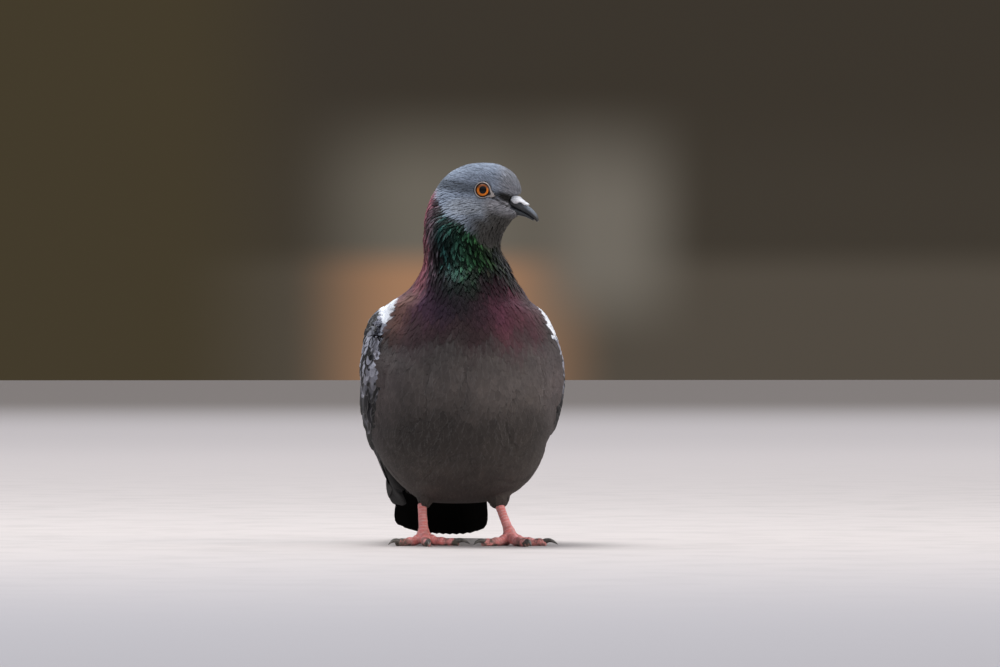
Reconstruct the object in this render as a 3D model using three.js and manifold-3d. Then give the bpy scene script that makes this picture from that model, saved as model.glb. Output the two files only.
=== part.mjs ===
// A feral pigeon, life size, standing upright with its head turned to its left.
// Millimetres, +Z up. The breast faces -Y and the bird's left side is +X.
// The feathered body is one smooth loft from rump to crown, parted with thin cuts;
// the folded wings, the tail, the legs, the toes, the eyes and the bill are solids of their own.
import * as THREE from "three";
import { mergeVertices } from "three/addons/utils/BufferGeometryUtils.js";
import Module from "manifold-3d";

const wasm = await Module();
wasm.setup();

// ---------- driving dimensions ----------

const GAP = 0.3; // clearance kept between neighbouring solids
const HALF_GAP = GAP / 2;
const FAR = 500; // half size of the boxes that part the body

// Head: the point midway between the eyes, and the turn of the bill from straight ahead to the left
const EYE_CENTRE = { x: 11.3, y: -18, z: 188.2 };
const HEAD_TURN = THREE.MathUtils.degToRad(74);
const EYE_BALL_R = 6;
const EYE_FORWARD = -0.4; // eyeball centre ahead of that point
const EYE_SIDE = 6.1; // and out from the head's middle plane
const EYE_CUT = 3.2; // the eyeball's inner part is cut off here

// Body loft, from the rump to the base of the neck: back and breast points in the middle plane
// (y, z), how far that plane lies to the left, half width, and how square the lower half is (2 is an ellipse)
const TRUNK = [
  { back: [121, 45], front: [112, 33], x: 0, half: 15, square: 2.0 },
  { back: [113, 55], front: [97, 28], x: 0, half: 24, square: 2.1 },
  { back: [98, 71], front: [75, 25], x: 0, half: 32, square: 2.3 },
  { back: [80, 90], front: [48, 22.5], x: 0, half: 39, square: 2.6 },
  { back: [60, 110], front: [18, 22.5], x: 0, half: 45, square: 2.9 },
  { back: [43, 124], front: [-9, 30], x: 0.2, half: 48, square: 2.9 },
  { back: [29, 134.5], front: [-35, 47], x: 0.6, half: 48.4, square: 2.5 },
  { back: [20, 141.5], front: [-53, 72], x: 1.2, half: 46.2, square: 2.1 },
  { back: [14.5, 147.3], front: [-60, 98], x: 1.4, half: 36.6, square: 2.0 },
  { back: [11, 153], front: [-54, 122], x: 1.0, half: 27.2, square: 2.0 },
  { back: [7.8, 158.8], front: [-43.8, 141.5], x: 0.6, half: 22.6, square: 2.0 },
];

// Middle of the neck, half way through the head's turn
const MID_NECK = { back: [-14.0, 2.4, 164], front: [12.2, -33.2, 151.5], half: 21.0 };

// Neck and head, given along the bill: nape and throat or face points (forward of the eyes, z), half width
const HEAD = [
  { back: [-33.4, 169.5], front: [7.6, 161.5], half: 18.9, square: 2.0 },
  { back: [-33.2, 174.0], front: [9.8, 167.0], half: 17.0, square: 2.0 },
  { back: [-32.0, 179.3], front: [14.2, 173.4], half: 14.6, square: 1.8 },
  { back: [-30.0, 184.5], front: [16.0, 180.0], half: 12.6, square: 1.65 },
  { back: [-27.4, 189.3], front: [19.1, 187.2], half: 11.6, square: 1.8 },
  { back: [-23.8, 194.4], front: [17.7, 193.6], half: 10.9 },
  { back: [-18.6, 198.9], front: [13.9, 198.8], half: 9.4 },
  { back: [-11.4, 202.2], front: [7.5, 202.2], half: 6.2 },
  { back: [-6, 203.3], front: [2.6, 203.3], half: 2.8 },
];

// Folded wing: the closed tube that its outer face lies on, and the arc of the tube that the wing covers,
// in degrees up from straight sideways; thick is the wing's thickness, lift is how far the left wing is
// held higher than the right one, and reach is the right wing's half width against the left one's
const WING = [
  { back: [8, 147], front: [-52, 80], half: 47, from: 0, to: 9, thick: 4, lift: 0, reach: 1.08 },
  { back: [13, 146], front: [-46, 64], half: 51, from: -13, to: 29, thick: 7.5, lift: 0, reach: 1.065 },
  { back: [20, 143], front: [-38, 50], half: 54, from: -20, to: 47, thick: 9, lift: 0, reach: 1.03 },
  { back: [33, 135.5], front: [-12, 32], half: 55.2, from: -28, to: 64, thick: 9, lift: 0, reach: 0.99 },
  { back: [50, 122], front: [15, 24], half: 52.5, from: -35, to: 74, thick: 9, lift: 0, reach: 0.985 },
  { back: [70, 103], front: [45, 21], half: 47, from: -44, to: 78, thick: 9, lift: 1, reach: 1.01 },
  { back: [90, 82], front: [70, 15], half: 40.5, from: -47, to: 76, thick: 8, lift: 3, reach: 1.0 },
  { back: [108, 62], front: [92, 10], half: 34.5, from: -46, to: 69, thick: 8, lift: 5, reach: 0.985 },
  { back: [121, 46], front: [110, 10], half: 32, from: -36, to: 52, thick: 7, lift: 6, reach: 1.03 },
  { back: [130, 36], front: [123, 13], half: 30.5, from: -26, to: 25, thick: 5, lift: 6, reach: 1.02 },
  { back: [136, 29], front: [131, 18], half: 28.5, from: -15, to: 5, thick: 2.5, lift: 6, reach: 1.02 },
];
const ARM_CUT = { y: 62, z: 92, slope: 62 }; // coverts end here, flight feathers go on
const HAND_CUT = { y: 70, z: 52, slope: -14 }; // primaries lie below this line, secondaries above

// Tail: middle line from the root to the tip, half widths and thickness
const TAIL = {
  root: new THREE.Vector3(0, 78, 69),
  tip: new THREE.Vector3(2.7, 163, 2.5),
  rootHalf: 12,
  tipHalf: 25.3,
  rootThick: 6,
  tipThick: 1.6,
  camber: 1.2, // how far the side feathers lie below the middle ones
  shorter: 9, // how much shorter the outermost feathers are
  roll: 2, // how much lower its left edge is held at the tip
};

// Legs: thigh feathers, shank, the ball of the foot and the toes' directions, in degrees to the left
// of straight ahead
const LEGS = [
  {
    side: "right",
    hip: [-19, 17, 48],
    knee: [-20.2, 12.5, 19.8],
    ball: [-20, 6, 6.4],
    toes: { hind: 170, inner: 64.5, middle: 0, outer: -49 },
  },
  {
    side: "left",
    hip: [19, 14, 48],
    knee: [20.4, 7, 19.8],
    ball: [25.4, -2, 6.4],
    toes: { hind: -166, inner: -52.5, middle: 14, outer: 65.5 },
  },
];
const THIGH_TOP_R = 14;
const THIGH_END_R = 4.3;
const SHANK_R = 2.6;
const BALL_R = 4.0;
const TOE_START = 3; // toes begin this far out from the middle of the ball
const TOE_SINK = 0.35; // toes are flattened by this much where they stand

// Toes: length without claw, root and end radius, claw length
const TOES = [
  { name: "hind", length: 13, root: 2.4, end: 1.8, claw: 6 },
  { name: "inner", length: 20, root: 2.7, end: 1.9, claw: 6.5 },
  { name: "middle", length: 27, root: 2.9, end: 2.0, claw: 7 },
  { name: "outer", length: 20.5, root: 2.7, end: 1.9, claw: 6.5 },
];

// Bill, along the head's own forward axis (forward, z): ridge, mouth line and under edge
const UPPER_BILL = [
  { ridge: [13.6, 185.0], mouth: [13.6, 180.2], half: 4.0 },
  { ridge: [17.6, 184.0], mouth: [17.6, 178.1], half: 3.9 },
  { ridge: [21.5, 181.0], mouth: [20.9, 176.5], half: 3.2 },
  { ridge: [24.7, 178.7], mouth: [23.5, 174.9], half: 2.7 },
  { ridge: [27.3, 175.6], mouth: [25.8, 173.2], half: 1.8 },
  { ridge: [28.3, 172.7], mouth: [27.3, 171.8], half: 0.6 },
];
const LOWER_BILL = [
  { ridge: [13.6, 179.6], mouth: [13.6, 175.4], half: 3.6 },
  { ridge: [17.6, 177.6], mouth: [17.6, 175.2], half: 3.3 },
  { ridge: [21.1, 175.9], mouth: [21.1, 174.4], half: 2.6 },
  { ridge: [23.5, 174.4], mouth: [23.5, 173.4], half: 2.0 },
  { ridge: [25.5, 173.0], mouth: [25.4, 172.5], half: 0.9 },
];
const CERE = { rear: [15.4, 183.6], front: [21.2, 180.9], side: 1.9, swell: 2.6, length: 4.8 };

// How finely the solids are faceted
const RING_POINTS = 28;
const STATION_STEPS = 2; // rings for each body station
const WING_ACROSS = 9;
const WING_STEPS = 15;
const UPPER_BILL_RINGS = 8;
const LOWER_BILL_RINGS = 6;
const TUBE_SIDES = 8;

// ---------- materials ----------

function material(red, green, blue, roughness) {
  const color = new THREE.Color(red, green, blue);
  return new THREE.MeshStandardMaterial({ color, roughness, metalness: 0 });
}

const MATERIALS = {
  headFeathers: material(0.15, 0.17, 0.2, 0.75),
  neckFeathers: material(0.04, 0.09, 0.06, 0.5),
  breastFeathers: material(0.07, 0.06, 0.062, 0.8),
  wingFeathers: material(0.2, 0.2, 0.24, 0.7),
  flightFeathers: material(0.03, 0.03, 0.033, 0.6),
  tailFeathers: material(0.02, 0.02, 0.022, 0.6),
  legSkin: material(0.5, 0.16, 0.14, 0.55),
  claw: material(0.05, 0.05, 0.045, 0.4),
  bill: material(0.03, 0.035, 0.04, 0.35),
  cere: material(0.6, 0.6, 0.63, 0.7),
  eye: material(0.5, 0.17, 0.02, 0.1),
};

// ---------- from shapes to solids ----------

// A closed manifold-3d solid from a three.js geometry, turned the right way out.
function solidFrom(geometry) {
  const bare = new THREE.BufferGeometry();
  bare.setAttribute("position", geometry.getAttribute("position"));
  if (geometry.index) bare.setIndex(geometry.index);
  const merged = mergeVertices(bare, 1e-4);
  const vertProperties = merged.attributes.position.array;
  const triVerts = new Uint32Array(merged.index.array);
  const solid = new wasm.Manifold(new wasm.Mesh({ numProp: 3, vertProperties, triVerts }));
  if (solid.volume() > 0) return solid;
  for (let i = 0; i < triVerts.length; i += 3) {
    [triVerts[i + 1], triVerts[i + 2]] = [triVerts[i + 2], triVerts[i + 1]];
  }
  return new wasm.Manifold(new wasm.Mesh({ numProp: 3, vertProperties, triVerts }));
}

// A three.js geometry with flat faces from a solid.
function geometryFrom(solid) {
  const mesh = solid.getMesh();
  const count = mesh.numVert;
  const places = new Float32Array(count * 3);
  for (let i = 0; i < count; i++) {
    places.set(mesh.vertProperties.subarray(i * mesh.numProp, i * mesh.numProp + 3), i * 3);
  }
  const geometry = new THREE.BufferGeometry();
  geometry.setAttribute("position", new THREE.BufferAttribute(places, 3));
  geometry.setIndex(new THREE.BufferAttribute(mesh.triVerts, 1));
  geometry.computeVertexNormals();
  return geometry;
}

// Closed rings of equal length skinned into one body, each end closed by a fan about its middle.
function loft(rings) {
  const places = [];
  const index = [];
  const count = rings[0].length;
  rings.flat().forEach((p) => places.push(p.x, p.y, p.z));
  for (let i = 0; i + 1 < rings.length; i++) {
    for (let j = 0; j < count; j++) {
      const a = i * count + j;
      const b = i * count + ((j + 1) % count);
      index.push(a, b, b + count, a, b + count, a + count);
    }
  }
  for (const [first, flip] of [[0, true], [(rings.length - 1) * count, false]]) {
    const ring = flip ? rings[0] : rings[rings.length - 1];
    const middle = ring.reduce((sum, p) => sum.add(p), new THREE.Vector3()).divideScalar(count);
    const hub = places.length / 3;
    places.push(middle.x, middle.y, middle.z);
    for (let j = 0; j < count; j++) {
      const a = first + j;
      const b = first + ((j + 1) % count);
      if (flip) index.push(hub, b, a);
      else index.push(hub, a, b);
    }
  }
  const geometry = new THREE.BufferGeometry();
  geometry.setAttribute("position", new THREE.Float32BufferAttribute(places, 3));
  geometry.setIndex(index);
  return geometry;
}

// Two grids of points, outer and inner, joined round their rims into one slab.
function slab(outer, inner) {
  const rows = outer.length;
  const columns = outer[0].length;
  const places = [];
  const index = [];
  [outer, inner].flat(2).forEach((p) => places.push(p.x, p.y, p.z));
  const at = (layer, i, j) => layer * rows * columns + i * columns + j;
  const quad = (a, b, c, d) => index.push(a, b, c, a, c, d);
  for (let i = 0; i + 1 < rows; i++) {
    for (let j = 0; j + 1 < columns; j++) {
      quad(at(0, i, j), at(0, i + 1, j), at(0, i + 1, j + 1), at(0, i, j + 1));
      quad(at(1, i, j), at(1, i, j + 1), at(1, i + 1, j + 1), at(1, i + 1, j));
    }
  }
  for (let i = 0; i + 1 < rows; i++) {
    quad(at(0, i, 0), at(1, i, 0), at(1, i + 1, 0), at(0, i + 1, 0));
    quad(at(0, i + 1, columns - 1), at(1, i + 1, columns - 1), at(1, i, columns - 1), at(0, i, columns - 1));
  }
  for (let j = 0; j + 1 < columns; j++) {
    quad(at(0, 0, j + 1), at(1, 0, j + 1), at(1, 0, j), at(0, 0, j));
    quad(at(0, rows - 1, j), at(1, rows - 1, j), at(1, rows - 1, j + 1), at(0, rows - 1, j + 1));
  }
  const geometry = new THREE.BufferGeometry();
  geometry.setAttribute("position", new THREE.Float32BufferAttribute(places, 3));
  geometry.setIndex(index);
  return geometry;
}

// The half space behind a plane, as a large box.
function behind(point, normal) {
  const box = new THREE.BoxGeometry(FAR * 2, FAR * 2, FAR * 2);
  box.translate(0, 0, -FAR);
  const unit = normal.clone().normalize();
  box.applyQuaternion(new THREE.Quaternion().setFromUnitVectors(new THREE.Vector3(0, 0, 1), unit));
  box.translate(point.x, point.y, point.z);
  return solidFrom(box);
}

// Parts a solid at a plane and leaves a gap: [the part behind the plane, the part in front of it].
function part(solid, point, normal) {
  const unit = normal.clone().normalize();
  const rear = behind(point.clone().addScaledVector(unit, -HALF_GAP), unit);
  const front = behind(point.clone().addScaledVector(unit, HALF_GAP), unit.clone().negate());
  return [solid.intersect(rear), solid.intersect(front)];
}

// The largest of a solid's separate bodies, so that no sliver left by a cut is kept.
function mainBody(solid) {
  return solid.decompose().sort((a, b) => b.volume() - a.volume())[0];
}

// ---------- curves through stations ----------

// Catmull-Rom value through equally spaced numbers, at t from 0 to count - 1.
function smoothValue(values, t) {
  const last = values.length - 1;
  const i = Math.min(Math.floor(t), last - 1);
  const f = t - i;
  const a = values[Math.max(i - 1, 0)];
  const b = values[i];
  const c = values[i + 1];
  const d = values[Math.min(i + 2, last)];
  return b + 0.5 * f * (c - a + f * (2 * a - 5 * b + 4 * c - d + f * (3 * (b - c) + d - a)));
}

const headForward = new THREE.Vector3(Math.sin(HEAD_TURN), -Math.cos(HEAD_TURN), 0);
const headLeft = new THREE.Vector3(-headForward.y, headForward.x, 0);

// A point given in the head's own directions: forward of the eyes, to the head's left, and height.
function headPoint(forward, left, z) {
  return new THREE.Vector3(EYE_CENTRE.x, EYE_CENTRE.y, z)
    .addScaledVector(headForward, forward)
    .addScaledVector(headLeft, left);
}

// The stations of the whole body, trunk first, each as front and back points, half width and squareness.
const bodyStations = [
  ...TRUNK.map((s) => ({
    back: new THREE.Vector3(s.x, ...s.back),
    front: new THREE.Vector3(s.x, ...s.front),
    half: s.half,
    square: s.square,
  })),
  {
    back: new THREE.Vector3(...MID_NECK.back),
    front: new THREE.Vector3(...MID_NECK.front),
    half: MID_NECK.half,
  },
  ...HEAD.map((s) => ({
    back: headPoint(s.back[0], 0, s.back[1]),
    front: headPoint(s.front[0], 0, s.front[1]),
    half: s.half,
    square: s.square,
  })),
];

function smoothPoint(stations, key, t) {
  return new THREE.Vector3(
    smoothValue(stations.map((s) => s[key].x), t),
    smoothValue(stations.map((s) => s[key].y), t),
    smoothValue(stations.map((s) => s[key].z), t),
  );
}

function sectionAt(stations, t) {
  return {
    back: smoothPoint(stations, "back", t),
    front: smoothPoint(stations, "front", t),
    half: smoothValue(stations.map((s) => s.half), t),
    square: smoothValue(stations.map((s) => s.square ?? 2), t),
  };
}

// A point of an oval section: angle 0 is straight to the left, a quarter turn on is the back.
function ovalPoint(section, angle, grow = 0) {
  const rise = section.back.clone().sub(section.front);
  const halfHeight = rise.length() / 2;
  const up = rise.clone().normalize();
  const left = up.clone().cross(new THREE.Vector3(0, 0, 1)).normalize();
  const middle = section.front.clone().add(section.back).multiplyScalar(0.5);
  const cos = Math.cos(angle);
  const sin = Math.sin(angle);
  const power = 2 / (sin < 0 ? section.square : 2);
  const across = Math.sign(cos) * Math.abs(cos) ** power * (section.half + grow);
  const along = Math.sign(sin) * Math.abs(sin) ** power * (halfHeight + grow);
  return middle.addScaledVector(left, across).addScaledVector(up, along);
}

// A ring round a section. It starts from the bird's left however far the section is turned, so that
// the neck's rings do not twist.
function ovalRing(section, points, grow = 0) {
  const left = section.back.clone().sub(section.front).cross(new THREE.Vector3(0, 0, 1));
  const turned = Math.atan2(left.y, left.x);
  const step = (2 * Math.PI) / points;
  return Array.from({ length: points }, (_, k) => ovalPoint(section, k * step - turned, grow));
}

function bodySolid(grow = 0) {
  const steps = (bodyStations.length - 1) * STATION_STEPS;
  const rings = [];
  for (let i = 0; i <= steps; i++) {
    const t = (i / steps) * (bodyStations.length - 1);
    rings.push(ovalRing(sectionAt(bodyStations, t), RING_POINTS, grow));
  }
  return solidFrom(loft(rings));
}

// ---------- tubes: thighs, shanks, toes, claws ----------

// A round tube along points with a radius at each, its ends domed by the first and last radius.
function tube(points, radii, sides = TUBE_SIDES, flatten = 1) {
  const rings = points.map((p, i) => {
    const before = points[Math.max(i - 1, 0)];
    const after = points[Math.min(i + 1, points.length - 1)];
    const along = after.clone().sub(before).normalize();
    const aside = along.clone().cross(new THREE.Vector3(0, 0, 1));
    if (aside.lengthSq() < 1e-3) aside.set(1, 0, 0);
    aside.normalize();
    const up = aside.clone().cross(along).normalize();
    return Array.from({ length: sides }, (_, k) => {
      const angle = (2 * Math.PI * (k + 0.5)) / sides;
      return p
        .clone()
        .addScaledVector(aside, Math.cos(angle) * radii[i])
        .addScaledVector(up, Math.sin(angle) * radii[i] * flatten);
    });
  });
  return solidFrom(loft(rings));
}

const ball = (centre, radius, wide = 10, high = 7) => {
  const shape = new THREE.SphereGeometry(radius, wide, high);
  shape.translate(centre.x, centre.y, centre.z);
  return solidFrom(shape);
};

const floorUp = behind(new THREE.Vector3(0, 0, 0), new THREE.Vector3(0, 0, -1)); // everything above the floor

// ---------- the pieces ----------

const body = bodySolid();
const bodyGrown = bodySolid(GAP);

function eyeCentre(side) {
  return headPoint(EYE_FORWARD, side * EYE_SIDE, EYE_CENTRE.z);
}

function eyeSolid(side, grow = 0) {
  const outward = headLeft.clone().multiplyScalar(side);
  const keep = behind(headPoint(0, side * (EYE_CUT - grow), EYE_CENTRE.z), outward.clone().negate());
  return ball(eyeCentre(side), EYE_BALL_R + grow, 14, 10).intersect(keep);
}

// Bill half: a loft of ovals in the head's own frame.
function billSolid(stations, steps, grow = 0) {
  const list = stations.map((s) => ({
    back: headPoint(s.ridge[0], 0, s.ridge[1]),
    front: headPoint(s.mouth[0], 0, s.mouth[1]),
    half: s.half,
  }));
  const rings = [];
  for (let i = 0; i <= steps; i++) {
    const t = (i / steps) * (list.length - 1);
    const section = sectionAt(list, t);
    const up = section.back.clone().sub(section.front);
    const middle = section.front.clone().add(section.back).multiplyScalar(0.5);
    const height = up.length() / 2 + grow;
    up.normalize();
    rings.push(
      Array.from({ length: 10 }, (_, k) => {
        const angle = (2 * Math.PI * k) / 10;
        return middle
          .clone()
          .addScaledVector(headLeft, Math.cos(angle) * (section.half + grow))
          .addScaledVector(up, Math.sin(angle) * height);
      }),
    );
  }
  return solidFrom(loft(rings));
}

// The pale swelling over the nostrils: two lobes side by side, joined.
function cereSolid(grow = 0) {
  const lobes = [-1, 1].map((side) => {
    const shape = new THREE.SphereGeometry(1, 10, 7);
    const along = new THREE.Vector3()
      .subVectors(headPoint(CERE.front[0], 0, CERE.front[1]), headPoint(CERE.rear[0], 0, CERE.rear[1]))
      .normalize();
    const up = headLeft.clone().cross(along).negate();
    const frame = new THREE.Matrix4().makeBasis(
      along.clone().multiplyScalar(CERE.length + grow),
      headLeft.clone().multiplyScalar(CERE.swell + grow),
      up.multiplyScalar(CERE.swell * 0.82 + grow),
    );
    const middle = headPoint(
      (CERE.rear[0] + CERE.front[0]) / 2,
      side * CERE.side,
      (CERE.rear[1] + CERE.front[1]) / 2 - 0.6,
    );
    frame.setPosition(middle);
    shape.applyMatrix4(frame);
    return solidFrom(shape);
  });
  return lobes[0].add(lobes[1]);
}

// Folded wing on one side, as a slab between the outer tube and an inner one, cut clear of the body.
function wingSolid(side) {
  const stations = WING.map((s) => {
    const rise = side > 0 ? s.lift : 0;
    return {
      back: new THREE.Vector3(0, s.back[0], s.back[1] + rise),
      front: new THREE.Vector3(0, s.front[0], s.front[1] + rise),
      half: s.half * (side > 0 ? 1 : s.reach),
    };
  });
  const layer = (depthShare) =>
    Array.from({ length: WING_STEPS + 1 }, (_, i) => {
      const t = (i / WING_STEPS) * (WING.length - 1);
      const section = sectionAt(stations, t);
      const from = THREE.MathUtils.degToRad(smoothValue(WING.map((s) => s.from), t));
      const to = THREE.MathUtils.degToRad(smoothValue(WING.map((s) => s.to), t));
      const thick = smoothValue(WING.map((s) => s.thick), t);
      return Array.from({ length: WING_ACROSS }, (_, j) => {
        const angle = from + ((to - from) * j) / (WING_ACROSS - 1);
        const edge = Math.abs((2 * j) / (WING_ACROSS - 1) - 1);
        const thin = (1 - edge ** 6) * 0.75 + 0.25; // the rims are thinner
        const point = ovalPoint(section, angle, -thick * thin * depthShare);
        point.x *= side;
        return point;
      });
    });
  return solidFrom(slab(layer(0), layer(1)));
}

// Tail: a thin fan, its side feathers lower and shorter than the middle ones.
function tailSolid(grow = 0) {
  const across = 8;
  const along = 7;
  const run = TAIL.tip.clone().sub(TAIL.root);
  const unit = run.clone().normalize();
  const left = new THREE.Vector3(1, 0, 0);
  const up = left.clone().cross(unit).normalize();
  const grid = (top) =>
    Array.from({ length: along + 1 }, (_, i) => {
      const t = i / along;
      const half = THREE.MathUtils.lerp(TAIL.rootHalf, TAIL.tipHalf, t ** 0.8) + grow;
      const thick = THREE.MathUtils.lerp(TAIL.rootThick, TAIL.tipThick, t ** 0.6) + 2 * grow;
      return Array.from({ length: across + 1 }, (_, j) => {
        const side = (2 * j) / across - 1;
        const length = run.length() - TAIL.shorter * side ** 4 - 3 * side ** 2;
        const point = TAIL.root.clone().addScaledVector(unit, length * t + (2 * t - 1) * grow);
        point.x = TAIL.root.x + (TAIL.tip.x - TAIL.root.x) * t * t + side * half;
        const thin = 1 - (grow > 0 ? 0 : 0.55 * side ** 4);
        const lower = (TAIL.camber * side * side + TAIL.roll * side) * t;
        point.addScaledVector(up, (top ? 0.5 : -0.5) * thick * thin - lower);
        return point;
      });
    });
  return solidFrom(slab(grid(true), grid(false)));
}

// Thigh: a cone of feathers from the belly down to the shank.
function thighSolid(leg) {
  const hip = new THREE.Vector3(...leg.hip);
  const knee = new THREE.Vector3(...leg.knee);
  const steps = 5;
  const points = [];
  const radii = [];
  for (let i = 0; i <= steps; i++) {
    const t = i / steps;
    points.push(hip.clone().lerp(knee, t));
    radii.push(THREE.MathUtils.lerp(THIGH_END_R, THIGH_TOP_R, Math.sqrt(Math.max(0, 1 - t))));
  }
  return tube(points, radii, 14);
}

function shankSolid(leg, grow = 0) {
  const knee = new THREE.Vector3(...leg.knee);
  const end = new THREE.Vector3(...leg.ball);
  const down = end.clone().sub(knee).normalize();
  const top = knee.clone().addScaledVector(down, -grow);
  const points = [top, knee.clone().lerp(end, 0.35), knee.clone().lerp(end, 0.75), end];
  const radii = [1.05, 0.95, 1, 1.25].map((share) => share * SHANK_R + grow);
  return tube(points, radii, 8).add(ball(end, BALL_R + grow)).intersect(floorUp);
}

// A toe's route: out from the ball of the foot, down to the floor and level to the claw.
function toeRoute(leg, toe) {
  const turn = THREE.MathUtils.degToRad(leg.toes[toe.name]);
  const out = new THREE.Vector3(Math.sin(turn), -Math.cos(turn), 0);
  const start = new THREE.Vector3(...leg.ball);
  start.z = 4.6;
  const at = (far, z) => new THREE.Vector3(start.x, start.y, z).addScaledVector(out, far);
  return { at, out };
}

function toeSolid(leg, toe, grow = 0) {
  const { at, out } = toeRoute(leg, toe);
  const stops = [0, 0.18, 0.34, 0.5, 0.66, 0.82, 1];
  const radii = stops.map((f, i) => {
    const joint = i % 2 ? 1.07 : 0.95; // pads swell between the joints
    return THREE.MathUtils.lerp(toe.root, toe.end, f) * joint * (f === 1 ? 0.8 : 1);
  });
  const points = stops.map((f, i) => {
    const arch = Math.max(0, 1 - f / 0.5) ** 2 * 2.2; // the root rides higher, at the ball
    return at(TOE_START + f * (toe.length - TOE_START), radii[i] - TOE_SINK + arch);
  });
  const whole = tube(points, radii.map((r) => r + grow), TUBE_SIDES);
  return whole.intersect(behind(at(toe.length, 2), out));
}

function clawSolid(leg, toe) {
  const { at, out } = toeRoute(leg, toe);
  const start = toe.length - 1;
  const points = [0, 0.3, 0.6, 0.85, 1].map((f) => {
    const z = 1.9 + 1.1 * Math.sin(f * Math.PI * 0.75) - 2.2 * f * f + 0.35;
    return at(start + f * (toe.claw + 1), Math.max(z, 0.35));
  });
  const clear = behind(at(toe.length + GAP, 2), out.clone().negate());
  return tube(points, [1.45, 1.3, 1.0, 0.62, 0.3], 6).intersect(floorUp).intersect(clear);
}

// ---------- parting the body ----------

const neckCut = { point: headPoint(-10, 0, 170.5), normal: headForward.clone().multiplyScalar(0.24).setZ(1) };
const chestCut = { point: new THREE.Vector3(0, -22, 140), normal: new THREE.Vector3(0, -0.42, 1) };
const waistCut = { point: new THREE.Vector3(0, 26, 74), normal: new THREE.Vector3(0, -1, 0.5) };
const rumpCut = { point: new THREE.Vector3(0, 84, 60), normal: new THREE.Vector3(0, -1, 0.42) };

const [belowHead, headPart] = part(body, neckCut.point, neckCut.normal);
const [trunk, neckPart] = part(belowHead, chestCut.point, chestCut.normal);
const [rear, breastPart] = part(trunk, waistCut.point, waistCut.normal);
const [rumpPart, bellyPart] = part(rear, rumpCut.point, rumpCut.normal);

const upperBillGrown = billSolid(UPPER_BILL, UPPER_BILL_RINGS, GAP);
const lowerBillGrown = billSolid(LOWER_BILL, LOWER_BILL_RINGS, GAP);
const cereGrown = cereSolid(GAP);

const headSolid = mainBody(
  headPart
    .subtract(eyeSolid(1, GAP))
    .subtract(eyeSolid(-1, GAP))
    .subtract(upperBillGrown)
    .subtract(lowerBillGrown)
    .subtract(cereGrown),
);

// ---------- the finished group ----------

const SIDES = [["right", -1], ["left", 1]];
const group = new THREE.Group();

function addPiece(name, solid, look) {
  const mesh = new THREE.Mesh(geometryFrom(mainBody(solid)), look);
  mesh.name = name;
  group.add(mesh);
}

addPiece("head", headSolid, MATERIALS.headFeathers);
addPiece("neck", neckPart, MATERIALS.neckFeathers);
addPiece("breast", breastPart, MATERIALS.breastFeathers);
addPiece("belly", bellyPart, MATERIALS.breastFeathers);
addPiece("rump", rumpPart, MATERIALS.breastFeathers);
for (const [name, side] of SIDES) addPiece(`eye_${name}`, eyeSolid(side), MATERIALS.eye);

addPiece("bill_lower", billSolid(LOWER_BILL, LOWER_BILL_RINGS), MATERIALS.bill);
addPiece("bill_upper", billSolid(UPPER_BILL, UPPER_BILL_RINGS).subtract(lowerBillGrown), MATERIALS.bill);
addPiece("cere", cereSolid().subtract(upperBillGrown), MATERIALS.cere);
addPiece("tail", tailSolid().subtract(bodyGrown), MATERIALS.tailFeathers);

// A plane across the wings that tilts by a number of degrees about the bird's left-right axis.
function wingPlane(cut) {
  const turn = THREE.MathUtils.degToRad(cut.slope);
  const normal = new THREE.Vector3(0, -Math.sin(turn), Math.cos(turn));
  return { point: new THREE.Vector3(0, cut.y, cut.z), normal };
}

const keptFromWings = bodyGrown.add(tailSolid(GAP));
const armPlane = wingPlane(ARM_CUT);
const handPlane = wingPlane(HAND_CUT);
for (const [name, side] of SIDES) {
  const wing = wingSolid(side).subtract(keptFromWings);
  const [flight, arm] = part(wing, armPlane.point, armPlane.normal);
  const [primaries, secondaries] = part(flight, handPlane.point, handPlane.normal);
  addPiece(`wing_${name}_coverts`, arm, MATERIALS.wingFeathers);
  addPiece(`wing_${name}_secondaries`, secondaries, MATERIALS.flightFeathers);
  addPiece(`wing_${name}_primaries`, primaries, MATERIALS.flightFeathers);
}

for (const leg of LEGS) {
  const thigh = thighSolid(leg).subtract(bodyGrown).subtract(shankSolid(leg, GAP));
  addPiece(`thigh_${leg.side}`, thigh, MATERIALS.breastFeathers);
  addPiece(`shank_${leg.side}`, shankSolid(leg), MATERIALS.legSkin);
  // The ball and the toes already made, all a little grown, so that each next toe keeps clear of them
  let taken = ball(new THREE.Vector3(...leg.ball), BALL_R + GAP);
  for (const toe of TOES) {
    const solid = toeSolid(leg, toe).subtract(taken).intersect(floorUp);
    addPiece(`toe_${leg.side}_${toe.name}`, solid, MATERIALS.legSkin);
    addPiece(`claw_${leg.side}_${toe.name}`, clawSolid(leg, toe), MATERIALS.claw);
    taken = taken.add(toeSolid(leg, toe, GAP));
  }
}

// The part's origin is on the floor, under the middle of its bounding box.
const bounds = new THREE.Box3().setFromObject(group);
const middle = bounds.getCenter(new THREE.Vector3());
group.children.forEach((mesh) => mesh.geometry.translate(-middle.x, -middle.y, -bounds.min.z));

export default group;
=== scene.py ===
"""A feral pigeon standing on the floor, life size: skin, feathers, bill, eyes, legs and feet.

Tables are in millimetres in the maker's own axes, with the breast facing -Y, the bird's left at +X and
the floor at z = 0. bird_space() carries them to metres in the shared frame.
"""

import math

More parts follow.
